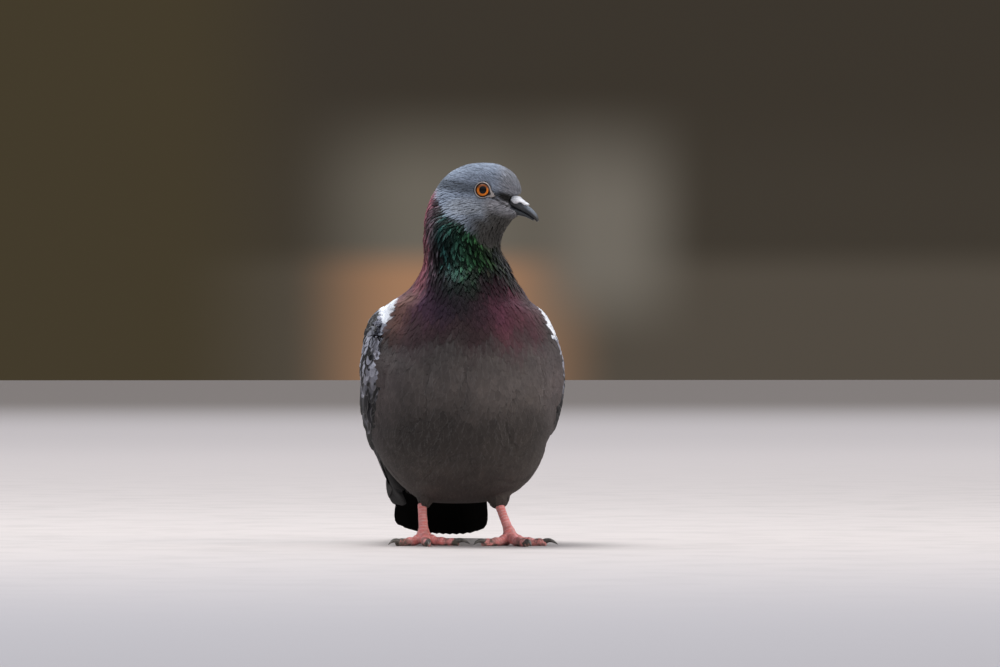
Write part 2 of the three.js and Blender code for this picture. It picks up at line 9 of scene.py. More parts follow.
import bpy
import numpy as np
from mathutils.bvhtree import BVHTree
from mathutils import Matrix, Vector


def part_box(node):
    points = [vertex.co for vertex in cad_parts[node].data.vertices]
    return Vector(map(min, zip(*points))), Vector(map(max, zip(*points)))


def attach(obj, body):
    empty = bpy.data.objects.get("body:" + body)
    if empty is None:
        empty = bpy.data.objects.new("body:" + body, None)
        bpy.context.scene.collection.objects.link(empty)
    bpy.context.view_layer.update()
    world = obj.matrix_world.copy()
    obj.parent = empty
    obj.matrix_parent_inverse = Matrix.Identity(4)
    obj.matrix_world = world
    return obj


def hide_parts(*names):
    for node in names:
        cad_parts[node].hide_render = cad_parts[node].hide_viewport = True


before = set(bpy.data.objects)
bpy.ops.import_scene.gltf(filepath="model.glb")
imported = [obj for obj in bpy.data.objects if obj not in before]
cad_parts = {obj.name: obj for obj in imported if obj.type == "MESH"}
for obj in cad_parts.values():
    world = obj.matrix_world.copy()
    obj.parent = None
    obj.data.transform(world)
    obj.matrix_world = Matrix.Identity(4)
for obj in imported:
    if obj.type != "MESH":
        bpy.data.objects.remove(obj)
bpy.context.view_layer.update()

MM = 0.001
ROOT = "root"
UP = np.array([0.0, 0.0, 1.0])
rng = np.random.default_rng(31)

# ---------- driving dimensions ----------

# Head: the point midway between the eyes, and the turn of the bill from straight ahead to the left
EYE_CENTRE = np.array([11.3, -18.0, 188.2])
HEAD_TURN = math.radians(74)
EYE_BALL_R = 6.0
EYE_FORWARD = -0.4  # eyeball centre ahead of that point
EYE_SIDE = 6.1  # and out from the head's middle plane
EYE_AHEAD = 0.05  # where the eye's opening lies, forward of that point
EYE_HIGH = 188.7  # and its height

# Body, from the rump to the base of the neck: back and breast points (y, z), how far the middle plane lies
# to the left, half width, and how square the lower half is
TRUNK = [
    ((121, 45), (112, 33), 0, 15, 2.0),
    ((113, 55), (97, 28), 0, 24, 2.1),
    ((98, 71), (75, 25), 0, 32, 2.3),
    ((80, 90), (48, 22.5), 0, 39, 2.6),
    ((60, 110), (18, 22.5), 0, 45, 2.9),
    ((43, 124), (-9, 30), 0.2, 48, 2.9),
    ((29, 134.5), (-35, 47), 0.6, 48.4, 2.5),
    ((20, 141.5), (-53, 72), 1.2, 46.2, 2.1),
    ((14.5, 147.3), (-60, 98), 1.4, 36.6, 2.0),
    ((11, 153), (-54, 122), 1.0, 27.2, 2.0),
    ((7.8, 158.8), (-43.8, 141.5), 0.6, 22.6, 2.0),
]
MID_NECK = ((-14.0, 2.4, 164), (12.2, -33.2, 151.5), 21.0)

# Neck and head along the bill: nape and throat or face points (forward of the eyes, z), half width and
# squareness
HEAD = [
    ((-33.4, 169.5), (7.6, 161.5), 18.9, 2.0),
    ((-33.2, 174.0), (9.8, 167.0), 17.0, 2.0),
    ((-32.0, 179.3), (14.2, 173.4), 14.6, 1.8),
    ((-30.0, 184.5), (16.0, 180.0), 12.6, 1.65),
    ((-27.4, 189.3), (19.1, 187.2), 11.6, 1.8),
    ((-23.8, 194.4), (17.7, 193.6), 10.9, 2.0),
    ((-18.6, 198.9), (13.9, 198.8), 9.4, 2.0),
    ((-11.4, 202.2), (7.5, 202.2), 6.2, 2.0),
    ((-6.0, 203.2), (2.6, 203.2), 2.8, 2.0),
    ((-2.0, 203.4), (-1.4, 203.4), 0.3, 2.0),
]

# Folded wing: the tube that its outer face lies on and the arc of it that the wing covers, in degrees up
# from straight sideways: back, front (y, z), half width, from, to, thickness, how much higher the left
# wing is held, and the right wing's half width against the left one's
WING = [
    ((8, 147), (-52, 80), 47, 0, 9, 4, 0, 1.08),
    ((13, 146), (-46, 64), 51, -13, 29, 7.5, 0, 1.065),
    ((20, 143), (-38, 50), 54, -20, 47, 9, 0, 1.03),
    ((33, 135.5), (-12, 32), 55.2, -28, 64, 9, 0, 0.99),
    ((50, 122), (15, 24), 52.5, -35, 74, 9, 0, 0.985),
    ((70, 103), (45, 21), 47, -44, 78, 9, 1, 1.01),
    ((90, 82), (70, 15), 40.5, -47, 76, 8, 3, 1),
    ((108, 62), (92, 10), 34.5, -46, 69, 8, 5, 0.985),
    ((121, 46), (110, 10), 32, -36, 52, 7, 6, 1.03),
    ((130, 36), (123, 13), 30.5, -26, 25, 5, 6, 1.02),
    ((136, 29), (131, 18), 28.5, -15, 5, 2.5, 6, 1.02),
]

TAIL_ROOT = np.array([0.0, 78.0, 69.0])
TAIL_TIP = np.array([2.7, 163.0, 2.5])
TAIL_HALF = (12.0, 25.3)  # at the root and the tip
TAIL_CAMBER = 1.2
TAIL_SHORTER = 9.0  # how much shorter the outermost feathers are
TAIL_ROLL = 2.0  # how much lower its left edge is held at the tip
TAIL_FEATHERS = 12

# Legs: hip, knee, ball of the foot, and the toes' directions in degrees to the left of straight ahead
LEGS = {
    "right": ((-19, 17, 48), (-20.2, 12.5, 19.8), (-20, 6, 6.4),
              {"hind": 170, "inner": 64.5, "middle": 0, "outer": -49}),
    "left": ((19, 14, 48), (20.4, 7, 19.8), (25.4, -2, 6.4),
             {"hind": -166, "inner": -52.5, "middle": 14, "outer": 65.5}),
}
THIGH_TOP_R = 14.0
THIGH_END_R = 3.4
SHANK_R = 2.6
TOE_START = 3.0
TOE_SINK = 0.35
TOES = {  # length without claw, radius at the root and the end, claw length
    "hind": (13, 2.4, 1.8, 6.0),
    "inner": (20, 2.7, 1.9, 6.5),
    "middle": (27, 2.9, 2.0, 7.0),
    "outer": (20.5, 2.7, 1.9, 6.5),
}

# Bill along the head's own forward axis (forward, z): ridge, mouth line, half width
UPPER_BILL = [
    ((13.6, 185.0), (13.6, 180.2), 4.0),
    ((17.6, 184.0), (17.6, 178.1), 3.9),
    ((21.5, 181.0), (20.9, 176.5), 3.2),
    ((24.7, 178.7), (23.5, 174.9), 2.7),
    ((27.3, 175.6), (25.8, 173.2), 1.8),
    ((28.3, 172.7), (27.3, 171.8), 0.6),
]
LOWER_BILL = [
    ((13.6, 179.6), (13.6, 175.4), 3.6),
    ((17.6, 177.6), (17.6, 175.2), 3.3),
    ((21.1, 175.9), (21.1, 174.4), 2.6),
    ((23.5, 174.4), (23.5, 173.4), 2.0),
    ((25.5, 173.0), (25.4, 172.5), 0.9),
]
CERE_REAR = (15.4, 183.6)
CERE_FRONT = (20.9, 181.9)
CERE_SIDE = 2.2
CERE_SWELL = 2.65
CERE_LENGTH = 4.8
# Feathers under the bill's root: upper and lower edge (forward, z), half width
CHIN_PLUME = [
    ((7, 182.5), (7, 170.0), 6.6),
    ((12, 181.0), (12, 172.6), 5.6),
    ((15.4, 179.4), (15.4, 174.0), 4.5),
    ((18.6, 177.9), (18.6, 175.2), 3.2),
]
MOUTH_CORNER = [(3.6, 185.3), (5.4, 184.3), (10.4, 181.3), (13.9, 178.9)]  # (forward, z) of the gape line

# Where the breast's coat ends on the folded wings: heights, and how far out it reaches
BREAST_EDGE = {
    "right": ([46, 60, 66.5, 77, 82.5, 93, 106.4, 114.4, 120, 125, 131.4],
              [45.5, 46.5, 46.5, 45.3, 44.3, 45, 44.6, 41.7, 39.2, 37.5, 34.2]),
    "left": ([60, 66.5, 74.5, 82.5, 86, 93, 98, 106.4, 110.7, 119.7, 128.8, 134],
             [46, 48.9, 50.6, 51.8, 53, 53, 51.7, 50, 46.5, 41.8, 38, 33]),
}
BREAST_BACK = 14  # and how far back

# How far out the folded wings reach at each height, to the right (-1) and the left, along SIDEWAYS
SIDEWAYS = np.array([0.9954, -0.0958, 0.0])
OUTLINE = {
    -1: ([62, 94, 101.6, 113.9, 122.4, 127.2, 131.8, 134.5, 138],
         [52.1, 54.7, 53.4, 52.1, 48.5, 43.2, 35.2, 31.9, 28.8]),
    1: ([62, 76, 82.3, 87.7, 98.4, 110.7, 118.7, 125.1, 129.4, 134, 138],
        [50.5, 53.9, 54.5, 55.1, 54.3, 50.8, 47.8, 43.8, 37.4, 34.1, 31.5]),
}


# ---------- curves ----------

FORWARD = np.array([math.sin(HEAD_TURN), -math.cos(HEAD_TURN), 0.0])
LEFT = np.array([math.cos(HEAD_TURN), math.sin(HEAD_TURN), 0.0])


def unit(vectors):
    return vectors / np.maximum(np.linalg.norm(vectors, axis=-1, keepdims=True), 1e-9)


def fade(values, start, stop):
    """0 before start, 1 after stop and smooth between, whichever of the two is greater."""
    share = np.clip((np.asarray(values, float) - start) / (stop - start), 0, 1)
    return share * share * (3 - 2 * share)


def bell(values, middle, width):
    return np.exp(-((values - middle) / width) ** 2)


def mix(a, b, share):
    return a + (b - a) * share


def circle(count):
    return np.linspace(0, 2 * math.pi, count, endpoint=False)


def grid(down, across):
    return np.meshgrid(down, across, indexing="ij")


def head_point(forward, left, z):
    """Points from distances forward of the eyes, to the head's left, and heights."""
    forward, left, z = np.broadcast_arrays(np.asarray(forward, float), left, z)
    flat = EYE_CENTRE * (1, 1, 0) + forward[..., None] * FORWARD + left[..., None] * LEFT
    return flat + z[..., None] * UP


def head_axes(points):
    """Distances forward of the eyes, to the head's left, and heights, of points."""
    away = points - EYE_CENTRE
    return away @ FORWARD, away @ LEFT, points[..., 2]


def smooth(values, t):
    """A Catmull-Rom curve through equally spaced values, at t from 0 to the last."""
    last = len(values) - 1
    i = np.clip(np.floor(t).astype(int), 0, last - 1)
    f = np.asarray(t - i, float)
    if values.ndim > 1:
        f = f[..., None]
    a, b, c, d = (values[np.clip(i + k, 0, last)] for k in (-1, 0, 1, 2))
    return b + 0.5 * f * (c - a + f * (2 * a - 5 * b + 4 * c - d + f * (3 * (b - c) + d - a)))


def columns_of(table, t):
    """Each column of a table as a curve, at t."""
    return [smooth(np.array(column, float), t) for column in zip(*table)]


def ripple(points, size, seed):
    """Soft noise from -1 to 1 over a place, with lumps of about that size in millimetres."""
    waves = np.random.default_rng(seed).normal(size=(7, 3)) * (2.2 / size)
    phases = np.random.default_rng(seed + 1).uniform(0, 2 * math.pi, 7)
    return np.tanh(np.sin(points @ waves.T + phases).sum(-1) / 2.2)


def breast_reach(points):
    """How far inside the line where the breast's coat ends on the wing, in millimetres."""
    x, y, z = np.moveaxis(points, -1, 0)
    edge = np.where(x > 0, np.interp(z, *BREAST_EDGE["left"]), np.interp(z, *BREAST_EDGE["right"]))
    return np.minimum(edge - np.abs(x), BREAST_BACK - y)


class Loft:
    """A smooth tube through oval stations. Angle 0 is the bird's left and a quarter turn on is its back."""

    def __init__(self, back, front, half, square):
        self.curves = [np.array(values, float) for values in (back, front, half, square)]
        self.last = len(half) - 1

    def point(self, t, angle, inward=0.0):
        t, angle, inward = np.broadcast_arrays(np.asarray(t, float), angle, inward)
        back, front, half, square = (smooth(curve, np.clip(t, 0, self.last)) for curve in self.curves)
        rise = back - front
        up = unit(rise)
        left = unit(np.cross(up, UP))
        angle = angle - np.arctan2(left[..., 1], left[..., 0])
        cos, sin = np.cos(angle), np.sin(angle)
        power = np.where(sin < 0, 2 / square, 1)
        across = np.sign(cos) * np.abs(cos) ** power * (half - inward)
        along = np.sign(sin) * np.abs(sin) ** power * (np.linalg.norm(rise, axis=-1) / 2 - inward)
        return (back + front) / 2 + left * across[..., None] + up * along[..., None]


def body_loft():
    back = [(x, *b) for b, _, x, _, _ in TRUNK] + [MID_NECK[0]]
    front = [(x, *f) for _, f, x, _, _ in TRUNK] + [MID_NECK[1]]
    half = [row[3] for row in TRUNK] + [MID_NECK[2]] + [row[2] for row in HEAD]
    square = [row[4] for row in TRUNK] + [2.0] + [row[3] for row in HEAD]
    back += [head_point(b[0], 0, b[1]) for b, *_ in HEAD]
    front += [head_point(f[0], 0, f[1]) for _, f, *_ in HEAD]
    return Loft(back, front, half, square)


BODY = body_loft()

# ---------- from arrays to meshes ----------


def bird_shift():
    """Millimetres from the maker's axes to the shared frame, from where the frame has the eyes."""
    right_low, right_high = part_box("eye_right")
    left_low, left_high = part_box("eye_left")
    eyes = EYE_CENTRE + FORWARD * EYE_FORWARD
    x = (min(right_low.x, left_low.x) + max(right_high.x, left_high.x)) / 2
    y = (left_high.y + right_low.y) / 2
    return np.array([x / MM - eyes[0], y / MM - eyes[1], 0.0])


SHIFT = bird_shift()


def bird_space(points):
    return (np.asarray(points, float) + SHIFT) * MM


def grid_faces(rows, columns, closed):
    """Triangles over a grid of points; a closed grid joins its last column to its first."""
    i, j = grid(np.arange(rows - 1), np.arange(columns if closed else columns - 1))
    a, b = i * columns + j, i * columns + (j + 1) % columns
    return np.stack([a, b, b + columns, a, b + columns, a + columns], -1).reshape(-1, 3)


def closed_tube(rings):
    """Points and triangles of a tube through rings of points, both ends closed."""
    rows, columns = rings.shape[:2]
    points = np.concatenate([rings.reshape(-1, 3), rings[0].mean(0)[None], rings[-1].mean(0)[None]])
    k = np.arange(columns)
    after, top, end = (k + 1) % columns, (rows - 1) * columns, np.full(columns, rows * columns)
    caps = [np.stack([end, after, k], -1), np.stack([end + 1, top + k, top + after], -1)]
    return points, np.concatenate([grid_faces(rows, columns, True), *caps])


def outward(side):
    """The order of a ring's points that keeps a mirrored piece's faces outwards."""
    return slice(None) if side > 0 else slice(None, None, -1)


def slab(outer, inner, side):
    """A closed slab between two sheets of points."""
    order = outward(side)
    return closed_tube(np.concatenate([outer[:, order], inner[:, order][:, ::-1]], 1))


def joined(parts):
    """Several (points, triangles) as one."""
    starts = np.cumsum([0] + [len(points) for points, _ in parts[:-1]])
    return np.concatenate([p for p, _ in parts]), np.concatenate([f + s for (_, f), s in zip(parts, starts)])


def new_mesh(name, points, faces):
    mesh = bpy.data.meshes.new(name)
    mesh.vertices.add(len(points))
    mesh.vertices.foreach_set("co", np.asarray(points, np.float32).ravel())
    mesh.loops.add(len(faces) * 3)
    mesh.loops.foreach_set("vertex_index", np.asarray(faces, np.int32).ravel())
    mesh.polygons.add(len(faces))
    mesh.polygons.foreach_set("loop_start", np.arange(0, len(faces) * 3, 3, dtype=np.int32))
    mesh.polygons.foreach_set("use_smooth", np.ones(len(faces), bool))
    mesh.update(calc_edges=True)
    return mesh


def new_object(name, data):
    thing = bpy.data.objects.new(name, data)
    bpy.context.scene.collection.objects.link(thing)
    return thing


def read_mesh(mesh):
    """Points and triangles of a Blender mesh."""
    points = np.empty(len(mesh.vertices) * 3, np.float32)
    mesh.vertices.foreach_get("co", points)
    mesh.calc_loop_triangles()
    faces = np.empty(len(mesh.loop_triangles) * 3, np.int32)
    mesh.loop_triangles.foreach_get("vertices", faces)
    return points.reshape(-1, 3).astype(float), faces.reshape(-1, 3)


def fused(parts, voxel, rounds):
    """One closed smooth surface round all the parts, in millimetres."""
    form = new_object("fused", new_mesh("fused", *joined(parts)))
    remesh = form.modifiers.new("fuse", "REMESH")
    remesh.mode = "VOXEL"
    remesh.voxel_size = voxel
    form.modifiers.new("relax", "SMOOTH").iterations = rounds
    evaluated = form.evaluated_get(bpy.context.evaluated_depsgraph_get())
    result = read_mesh(evaluated.to_mesh())
    evaluated.to_mesh_clear()
    bpy.data.objects.remove(form)
    return result


def face_normals(corners):
    return np.cross(corners[:, 1] - corners[:, 0], corners[:, 2] - corners[:, 0])


def vertex_normals(points, faces):
    normals = np.zeros_like(points)
    across = face_normals(points[faces])
    for k in range(3):
        np.add.at(normals, faces[:, k], across)
    return unit(normals)


def piece(name, points, faces, material, slot, nodes=(), facts=None, bake_map=None, normals=None):
    """A finished piece that rides on the body and stands for the named nodes. facts are numbers for each
    point that its material reads, and bake_map is a place on the unwrap for each triangle corner."""
    mesh = new_mesh(name, bird_space(points), faces)
    if normals is not None:
        mesh.normals_split_custom_set_from_vertices(normals.tolist())
    for key, values in (facts or {}).items():
        values = np.asarray(values, np.float32)
        kind, field = ("FLOAT_COLOR", "color") if values.shape[1] == 4 else ("FLOAT_VECTOR", "vector")
        mesh.attributes.new(key, kind, "POINT").data.foreach_set(field, values.ravel())
    if bake_map is not None:
        layer = mesh.uv_layers.new(name="OFBake")
        layer.uv.foreach_set("vector", np.asarray(bake_map, np.float32).ravel())
    mesh.materials.append(material)
    thing = new_object(name, mesh)
    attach(thing, ROOT)
    if nodes:
        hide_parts(*nodes)


# ---------- colours and markings ----------


def srgb(*colour):
    """A linear colour from screen values, 0 to 255."""
    share = np.array(colour, float) / 255
    return np.where(share > 0.04045, ((share + 0.055) / 1.055) ** 2.4, share / 12.92)


CROWN = srgb(130, 141, 159)
FOREHEAD = srgb(134, 137, 146)
CHEEK = srgb(138, 145, 156)
BEHIND_EYE = srgb(71, 78, 88)
LORE = srgb(15, 15, 16)
CHIN = srgb(51, 50, 49)
FACE = srgb(150, 151, 159)
NAPE = srgb(222, 142, 144)
GAPE = srgb(24, 24, 26)
BREAST = srgb(84, 78, 76)
BREAST_SIDE = srgb(88, 80, 80)
BELLY = srgb(64, 59, 56)
# The vent and under tail: their dark grey, deepened as painted shade beneath the body.
VENT_AND_SHADE = srgb(30, 29, 30)
# A painted shadow line round the eye's bare ring, cast by the edge of the feathers.
RING_SHADOW = srgb(62, 62, 66)
MANTLE = srgb(104, 108, 120)
RUMP = srgb(132, 136, 144)

# Neck gloss: degrees round from straight ahead, towards the bird's left, and colours above and below
NECK_ROUND = [-180, -125, -88, -66, -38, -14, 14, 38, 62, 90, 125, 180]
# The upper pink at -88 degrees, where the neck's right side turns away at the outline, is the gloss's own
# pink brightened as painted rim light.
NECK_HIGH = [srgb(*c) for c in (
    (60, 92, 84), (104, 78, 100), (220, 130, 150), (100, 76, 86), (25, 51, 50), (29, 54, 45),
    (30, 59, 34), (39, 58, 35), (54, 54, 45), (78, 62, 62), (84, 74, 98), (60, 92, 84))]
NECK_LOW = [srgb(*c) for c in (
    (80, 70, 90), (120, 86, 94), (117, 85, 78), (68, 44, 62), (42, 28, 42), (33, 26, 31),
    (50, 32, 40), (90, 49, 65), (98, 57, 70), (92, 70, 72), (92, 78, 92), (80, 70, 90))]
NECK_END = [srgb(*c) for c in (
    (80, 70, 90), (112, 84, 90), (108, 75, 66), (68, 46, 52), (54, 37, 42), (48, 34, 37),
    (53, 36, 39), (78, 43, 53), (86, 49, 58), (80, 62, 62), (92, 78, 92), (80, 70, 90))]

# Where the neck's gloss ends below, by degrees away from straight ahead, where the grey of the head begins,
# by distance forward of the eyes, and how light the breast and belly are, by height: partly their own tone
# and partly painted light and shade
GLOSS_FROM = ([0, 35, 60, 90, 120, 180], [107, 108, 111, 117, 128, 137])
HEAD_FROM = ([-34, -25, -21, -16, -9, -3, 4, 12], [189, 184, 177, 172.5, 167, 163.5, 160, 161])
BREAST_TONE = ([26, 40, 56, 66, 84, 100, 110], [1.3, 1.1, 0.71, 0.6, 1.04, 0.75, 0.54])

RING_OUT = 4.05  # outer radius of the bare ring round the eye
RING_CORNER = 3.1  # how much farther its front corner reaches
RING_CORNER_TURN = math.radians(-30)


def ring_edge(turn):
    """Radius of the bare ring's outer edge, by the direction from the eye: forward is 0, up a right angle."""
    off = (turn - RING_CORNER_TURN + math.pi) % (2 * math.pi) - math.pi
    return RING_OUT + RING_CORNER * bell(off, 0, 0.27)


def from_eye(p, z):
    """Distances and directions of places from the eye's opening."""
    ahead, above = p - EYE_AHEAD, z - EYE_HIGH
    return np.hypot(ahead, above), np.arctan2(above, ahead)


def segment_distance(x, y, a, b):
    """Distances of places from the straight line between two points of a plane."""
    run, rise = b[0] - a[0], b[1] - a[1]
    share = np.clip(((x - a[0]) * run + (y - a[1]) * rise) / (run * run + rise * rise), 0, 1)
    return np.hypot(x - a[0] - share * run, y - a[1] - share * rise)


def round_colours(table, degrees):
    return np.stack([np.interp(degrees, NECK_ROUND, [c[k] for c in table]) for k in range(3)], -1)


def blend_over(below, *layers):
    """Colours laid one over another: (colour, share of it at each place)."""
    for colour, share in layers:
        below = mix(below, colour, np.clip(share, 0, 1)[..., None])
    return below


def neck_gloss(sway, z, degrees, high):
    """The colours of the neck, with a band of painted shade across the front and a dim nape."""
    colour = blend_over(round_colours(NECK_END, degrees),
                        (round_colours(NECK_LOW, degrees), fade(sway, 114, 128)),
                        (round_colours(NECK_HIGH, degrees), high))
    shadow = bell(z, 136.5, 11) * fade(np.abs(degrees), 70, 40)
    nape = fade(z, 150, 164) * fade(-degrees, 62, 86)
    return colour * (1 - 0.72 * shadow)[..., None] * (1 - 0.33 * nape)[..., None]


def head_grey(p, z, fine, shape):
    """The greys of the head, with its cheek, throat and lores, and a painted shadow line round the eye."""
    band = 1 - 0.14 * np.exp(-((z - 194.5) / 2.5) ** 2 - (p / 8) ** 2)
    throat = np.maximum(fade(z + 0.25 * p, 184, 175) * fade(p, -5, 5),
                        fade(z + 0.3 * p, 180, 170) * fade(p, -16, 0))
    lore = np.hypot((p - 12.0) / 6.2, (z - 184.8 + 0.4 * (p - 11)) / 2.8)
    out, turn = from_eye(p, z)
    top = blend_over(np.broadcast_to(CROWN, shape), (FOREHEAD, fade(p, 4, 13))) * band[..., None]
    return blend_over(
        top,
        (BEHIND_EYE, fade(np.abs(z - 188.5 + 0.15 * p), 4.5, 1.5) * fade(p, 2, -4) * 0.8),
        (CHEEK, fade(np.hypot((p + 9) / 14, (z - 180.0) / 5.8) + 0.1 * fine, 1.2, 0.5)),
        (FACE, fade(p, -2, 4) * fade(z, 186, 182)),
        (CHIN, throat),
        (RING_SHADOW, fade(out - ring_edge(turn), 1.3, 0.5)),
        (LORE, fade(lore, 1.35, 0.5)),
        (NAPE, fade(p, -25, -31) * fade(z, 194, 184) * 0.7))


def plumage(points, angle):
    """Feather colour, and how glossy it is, at places on the body. Skin and coat share these markings."""
    p, _, z = head_axes(points)
    x, y = points[..., 0], points[..., 1]
    degrees = (np.degrees(angle) + 90 + 180) % 360 - 180
    away = np.abs(degrees)
    wide, fine = ripple(points, 16, 5), ripple(points, 5, 9)
    side = fade(away, 35, 75)
    trunk = blend_over(np.broadcast_to(BREAST, points.shape), (BREAST_SIDE, side),
                       (BELLY, fade(z, 92, 52) * (1 - side * 0.6)))
    # Painted light and shade on the breast and belly: the tone by height is partly their own; they are
    # painted lighter on the bird's left, where the warm light comes from, and darker towards both sides.
    tone = np.interp(z + 3 * wide + 2 * fine, *BREAST_TONE) * (1 + 0.15 * np.tanh(x / 25))
    tone = tone * (1 - 0.1 * fade(np.abs(x), 24, 40))
    sway = z + 3.5 * wide + 2 * fine
    high = fade(sway, 133, 145)
    gloss = fade(sway - np.interp(away, *GLOSS_FROM), -14, 12)
    # The head's lower edge runs from the nape, over the ear, to the throat
    head = fade(z + 2.2 * wide + 1.6 * fine - np.interp(p, *HEAD_FROM), -2.6, 2.6)
    gape = np.min([segment_distance(p, z, a, b) for a, b in zip(MOUTH_CORNER, MOUTH_CORNER[1:])], axis=0)
    colour = blend_over(
        trunk * tone[..., None],
        (VENT_AND_SHADE, fade(y, 62, 100) * (away < 110)),
        (MANTLE, fade(away, 95, 125)),
        (RUMP, fade(away, 95, 130) * fade(z, 112, 96)),
        (neck_gloss(sway, z, degrees, high), gloss),
        (head_grey(p, z, fine, points.shape), head),
        (GAPE, fade(gape, 0.75, 0.3) * 0.85))
    colour = colour * (1 + 0.06 * wide + 0.05 * fine)[..., None]
    return np.clip(colour, 0.002, 1), gloss * (1 - head) * (0.5 + 0.5 * high)


# ---------- shaders ----------


class Wire:
    """A value in a shader's node tree, to be reckoned with like a number."""

    def __init__(self, tree, socket):
        self.tree, self.socket = tree, socket

    def math(self, operation, *others, clamp=False):
        values = dict(enumerate((self, *others)))
        return put(self.tree, "Math", values, operation=operation, use_clamp=clamp)

    def __add__(self, other):
        return self.math("ADD", other)

    def __mul__(self, other):
        return self.math("MULTIPLY", other)

    def __sub__(self, other):
        return self.math("SUBTRACT", other)

    def __rsub__(self, other):
        return self * -1.0 + other

    def __truediv__(self, other):
        return self.math("DIVIDE", other)

    def __abs__(self):
        return self.math("ABSOLUTE")

    def ramp(self, start, stop):
        """0 before start and 1 after stop, smooth between."""
        values = {"Value": self, "From Min": start, "From Max": stop}
        return put(self.tree, "MapRange", values, interpolation_type="SMOOTHSTEP")

    def noise(self, scale, detail, **more):
        return put(self.tree, "TexNoise", {"Vector": self, "Scale": scale, "Detail": detail, **more})

    def split(self):
        return [Wire(self.tree, socket) for socket in node(self.tree, "SeparateXYZ", {0: self}).outputs]


def feed(socket, value):
    """Links an input to a wire, or gives it a value; a colour may come without its alpha."""
    if isinstance(value, Wire):
        value.tree.links.new(value.socket, socket)
    elif socket.type == "RGBA" and len(value) == 3:
        socket.default_value = (*value, 1)
    else:
        socket.default_value = value


def node(tree, kind, values=None, **settings):
    made = tree.nodes.new("ShaderNode" + kind)
    for name, value in settings.items():
        setattr(made, name, value)
    for key, value in (values or {}).items():
        feed(made.inputs[key], value)
    return made


def put(tree, kind, values=None, key=0, **settings):
    """The chosen output of a new node with these values and settings."""
    return Wire(tree, node(tree, kind, values, **settings).outputs[key])


def fact(tree, name, key="Vector"):
    return put(tree, "Attribute", key=key, attribute_name=name)


def place(tree):
    return put(tree, "NewGeometry", key="Position")


def blend(share, a, b, way="MIX"):
    tree = next(value.tree for value in (share, a, b) if isinstance(value, Wire))
    return put(tree, "Mix", {0: share, 6: a, 7: b}, 2, data_type="RGBA", blend_type=way)


def new_group(name, inputs, outputs, make):
    """A shader node group: values of its inputs, kinds of its outputs, and make(tree, given) for the rest."""
    tree = bpy.data.node_groups.new(name, "ShaderNodeTree")
    for label, value in inputs.items():
        kind = "NodeSocketFloat" if isinstance(value, float) else "NodeSocketColor"
        tree.interface.new_socket(label, in_out="INPUT", socket_type=kind).default_value = value
    for label, kind in outputs.items():
        tree.interface.new_socket(label, in_out="OUTPUT", socket_type="NodeSocket" + kind)
    given, out = tree.nodes.new("NodeGroupInput"), tree.nodes.new("NodeGroupOutput")
    for label, wire in make(tree, {label: Wire(tree, given.outputs[label]) for label in inputs}).items():
        feed(out.inputs[label], wire)
    return tree


def use_group(tree, group, values):
    outputs = node(tree, "Group", values, node_tree=group).outputs
    return {socket.name: Wire(tree, socket) for socket in outputs}


SHAFT_BROWN = (0.01, 0.009, 0.008)
WORN_GREY = (0.32, 0.31, 0.31)
START_COLOUR = (0.1, 0.1, 0.1, 1)  # what a group's colour is before it is linked


def barbs(tree, given):
    """A vane's slanting barbs, its shaft and the odd parting, from the place along and across the vane."""
    stop, lane, chance = fact(tree, "vane").split()
    length, half, _ = fact(tree, "vane_size").split()
    along, off_shaft = stop * length, abs(lane)
    across = off_shaft * half
    # Barbs leave the shaft slanting towards the tip, with a slow waver
    lie = put(tree, "CombineXYZ", {0: along, 1: across, 2: chance * 37.0})
    slant = along - across * 0.9 + lie.noise(0.6, 2.0) * 1.2
    barb = (slant * (2 * math.pi) / given["Barb Width"]).math("SINE") * 0.5 + 0.5
    dark = (1.0 - barb) * given["Contrast"] * (lie.noise(1.7, 3.0) * 1.6 + 0.1)
    light = (1.0 - dark) * (chance * 0.22 + 0.89)
    tone = put(tree, "CombineColor", {0: light, 1: light, 2: light})
    colour = blend(1.0, given["Colour"], tone, "MULTIPLY")
    # A pale worn margin and a dark shaft
    paled = blend(off_shaft.ramp(0.55, 1.0) * given["Edge"], colour, blend(0.5, colour, WORN_GREY))
    line = across.ramp(0.22, 0.05) * given["Shaft"]
    return {"Colour": blend(line, paled, blend(0.75, paled, SHAFT_BROWN)),
            "Height": across.ramp(0.3, 0.0) * 1.5 + barb}


def mottle(tree, given):
    """Slow drifts of tone and a fine grain, at the size given in metres."""
    scale = put(tree, "Math", {0: 1.0, 1: given["Size"]}, operation="DIVIDE")
    mask = place(tree).noise(scale, 5.0, Roughness=0.62).ramp(0.42, 0.68)
    return {"Colour": blend(mask * given["Amount"], given["Colour"], given["Tint"]), "Mask": mask}


def scutes(tree, given):
    """Bare scaly skin: red plates with pale edges, soiled lower down."""
    plates, tall, cover_share = fact(tree, "scute").split()
    at = place(tree)
    pebbles = put(tree, "TexVoronoi", {"Vector": at, "Scale": 1300.0}, "Distance", feature="DISTANCE_TO_EDGE")
    band = plates.math("FRACT")
    seam = band.ramp(0.80, 0.97).math("MAXIMUM", band.ramp(0.10, 0.0))
    edge = (seam * tall).math("ADD", pebbles.ramp(0.12, 0.0) * 0.65 * (1.0 - tall), clamp=True)
    plate = blend(at.noise(420.0, 4.0).ramp(0.35, 0.7), given["Plate"], given["Edge"])
    colour = blend(edge * 0.8, blend(0.65, plate, given["Plate"]), given["Edge"])
    soil = at.noise(260.0, 6.0).ramp(0.36, 0.6).math("MULTIPLY", cover_share, clamp=True)
    return {"Colour": blend(soil, colour, given["Dirt"]), "Height": 1.0 - edge, "Dirt": soil}


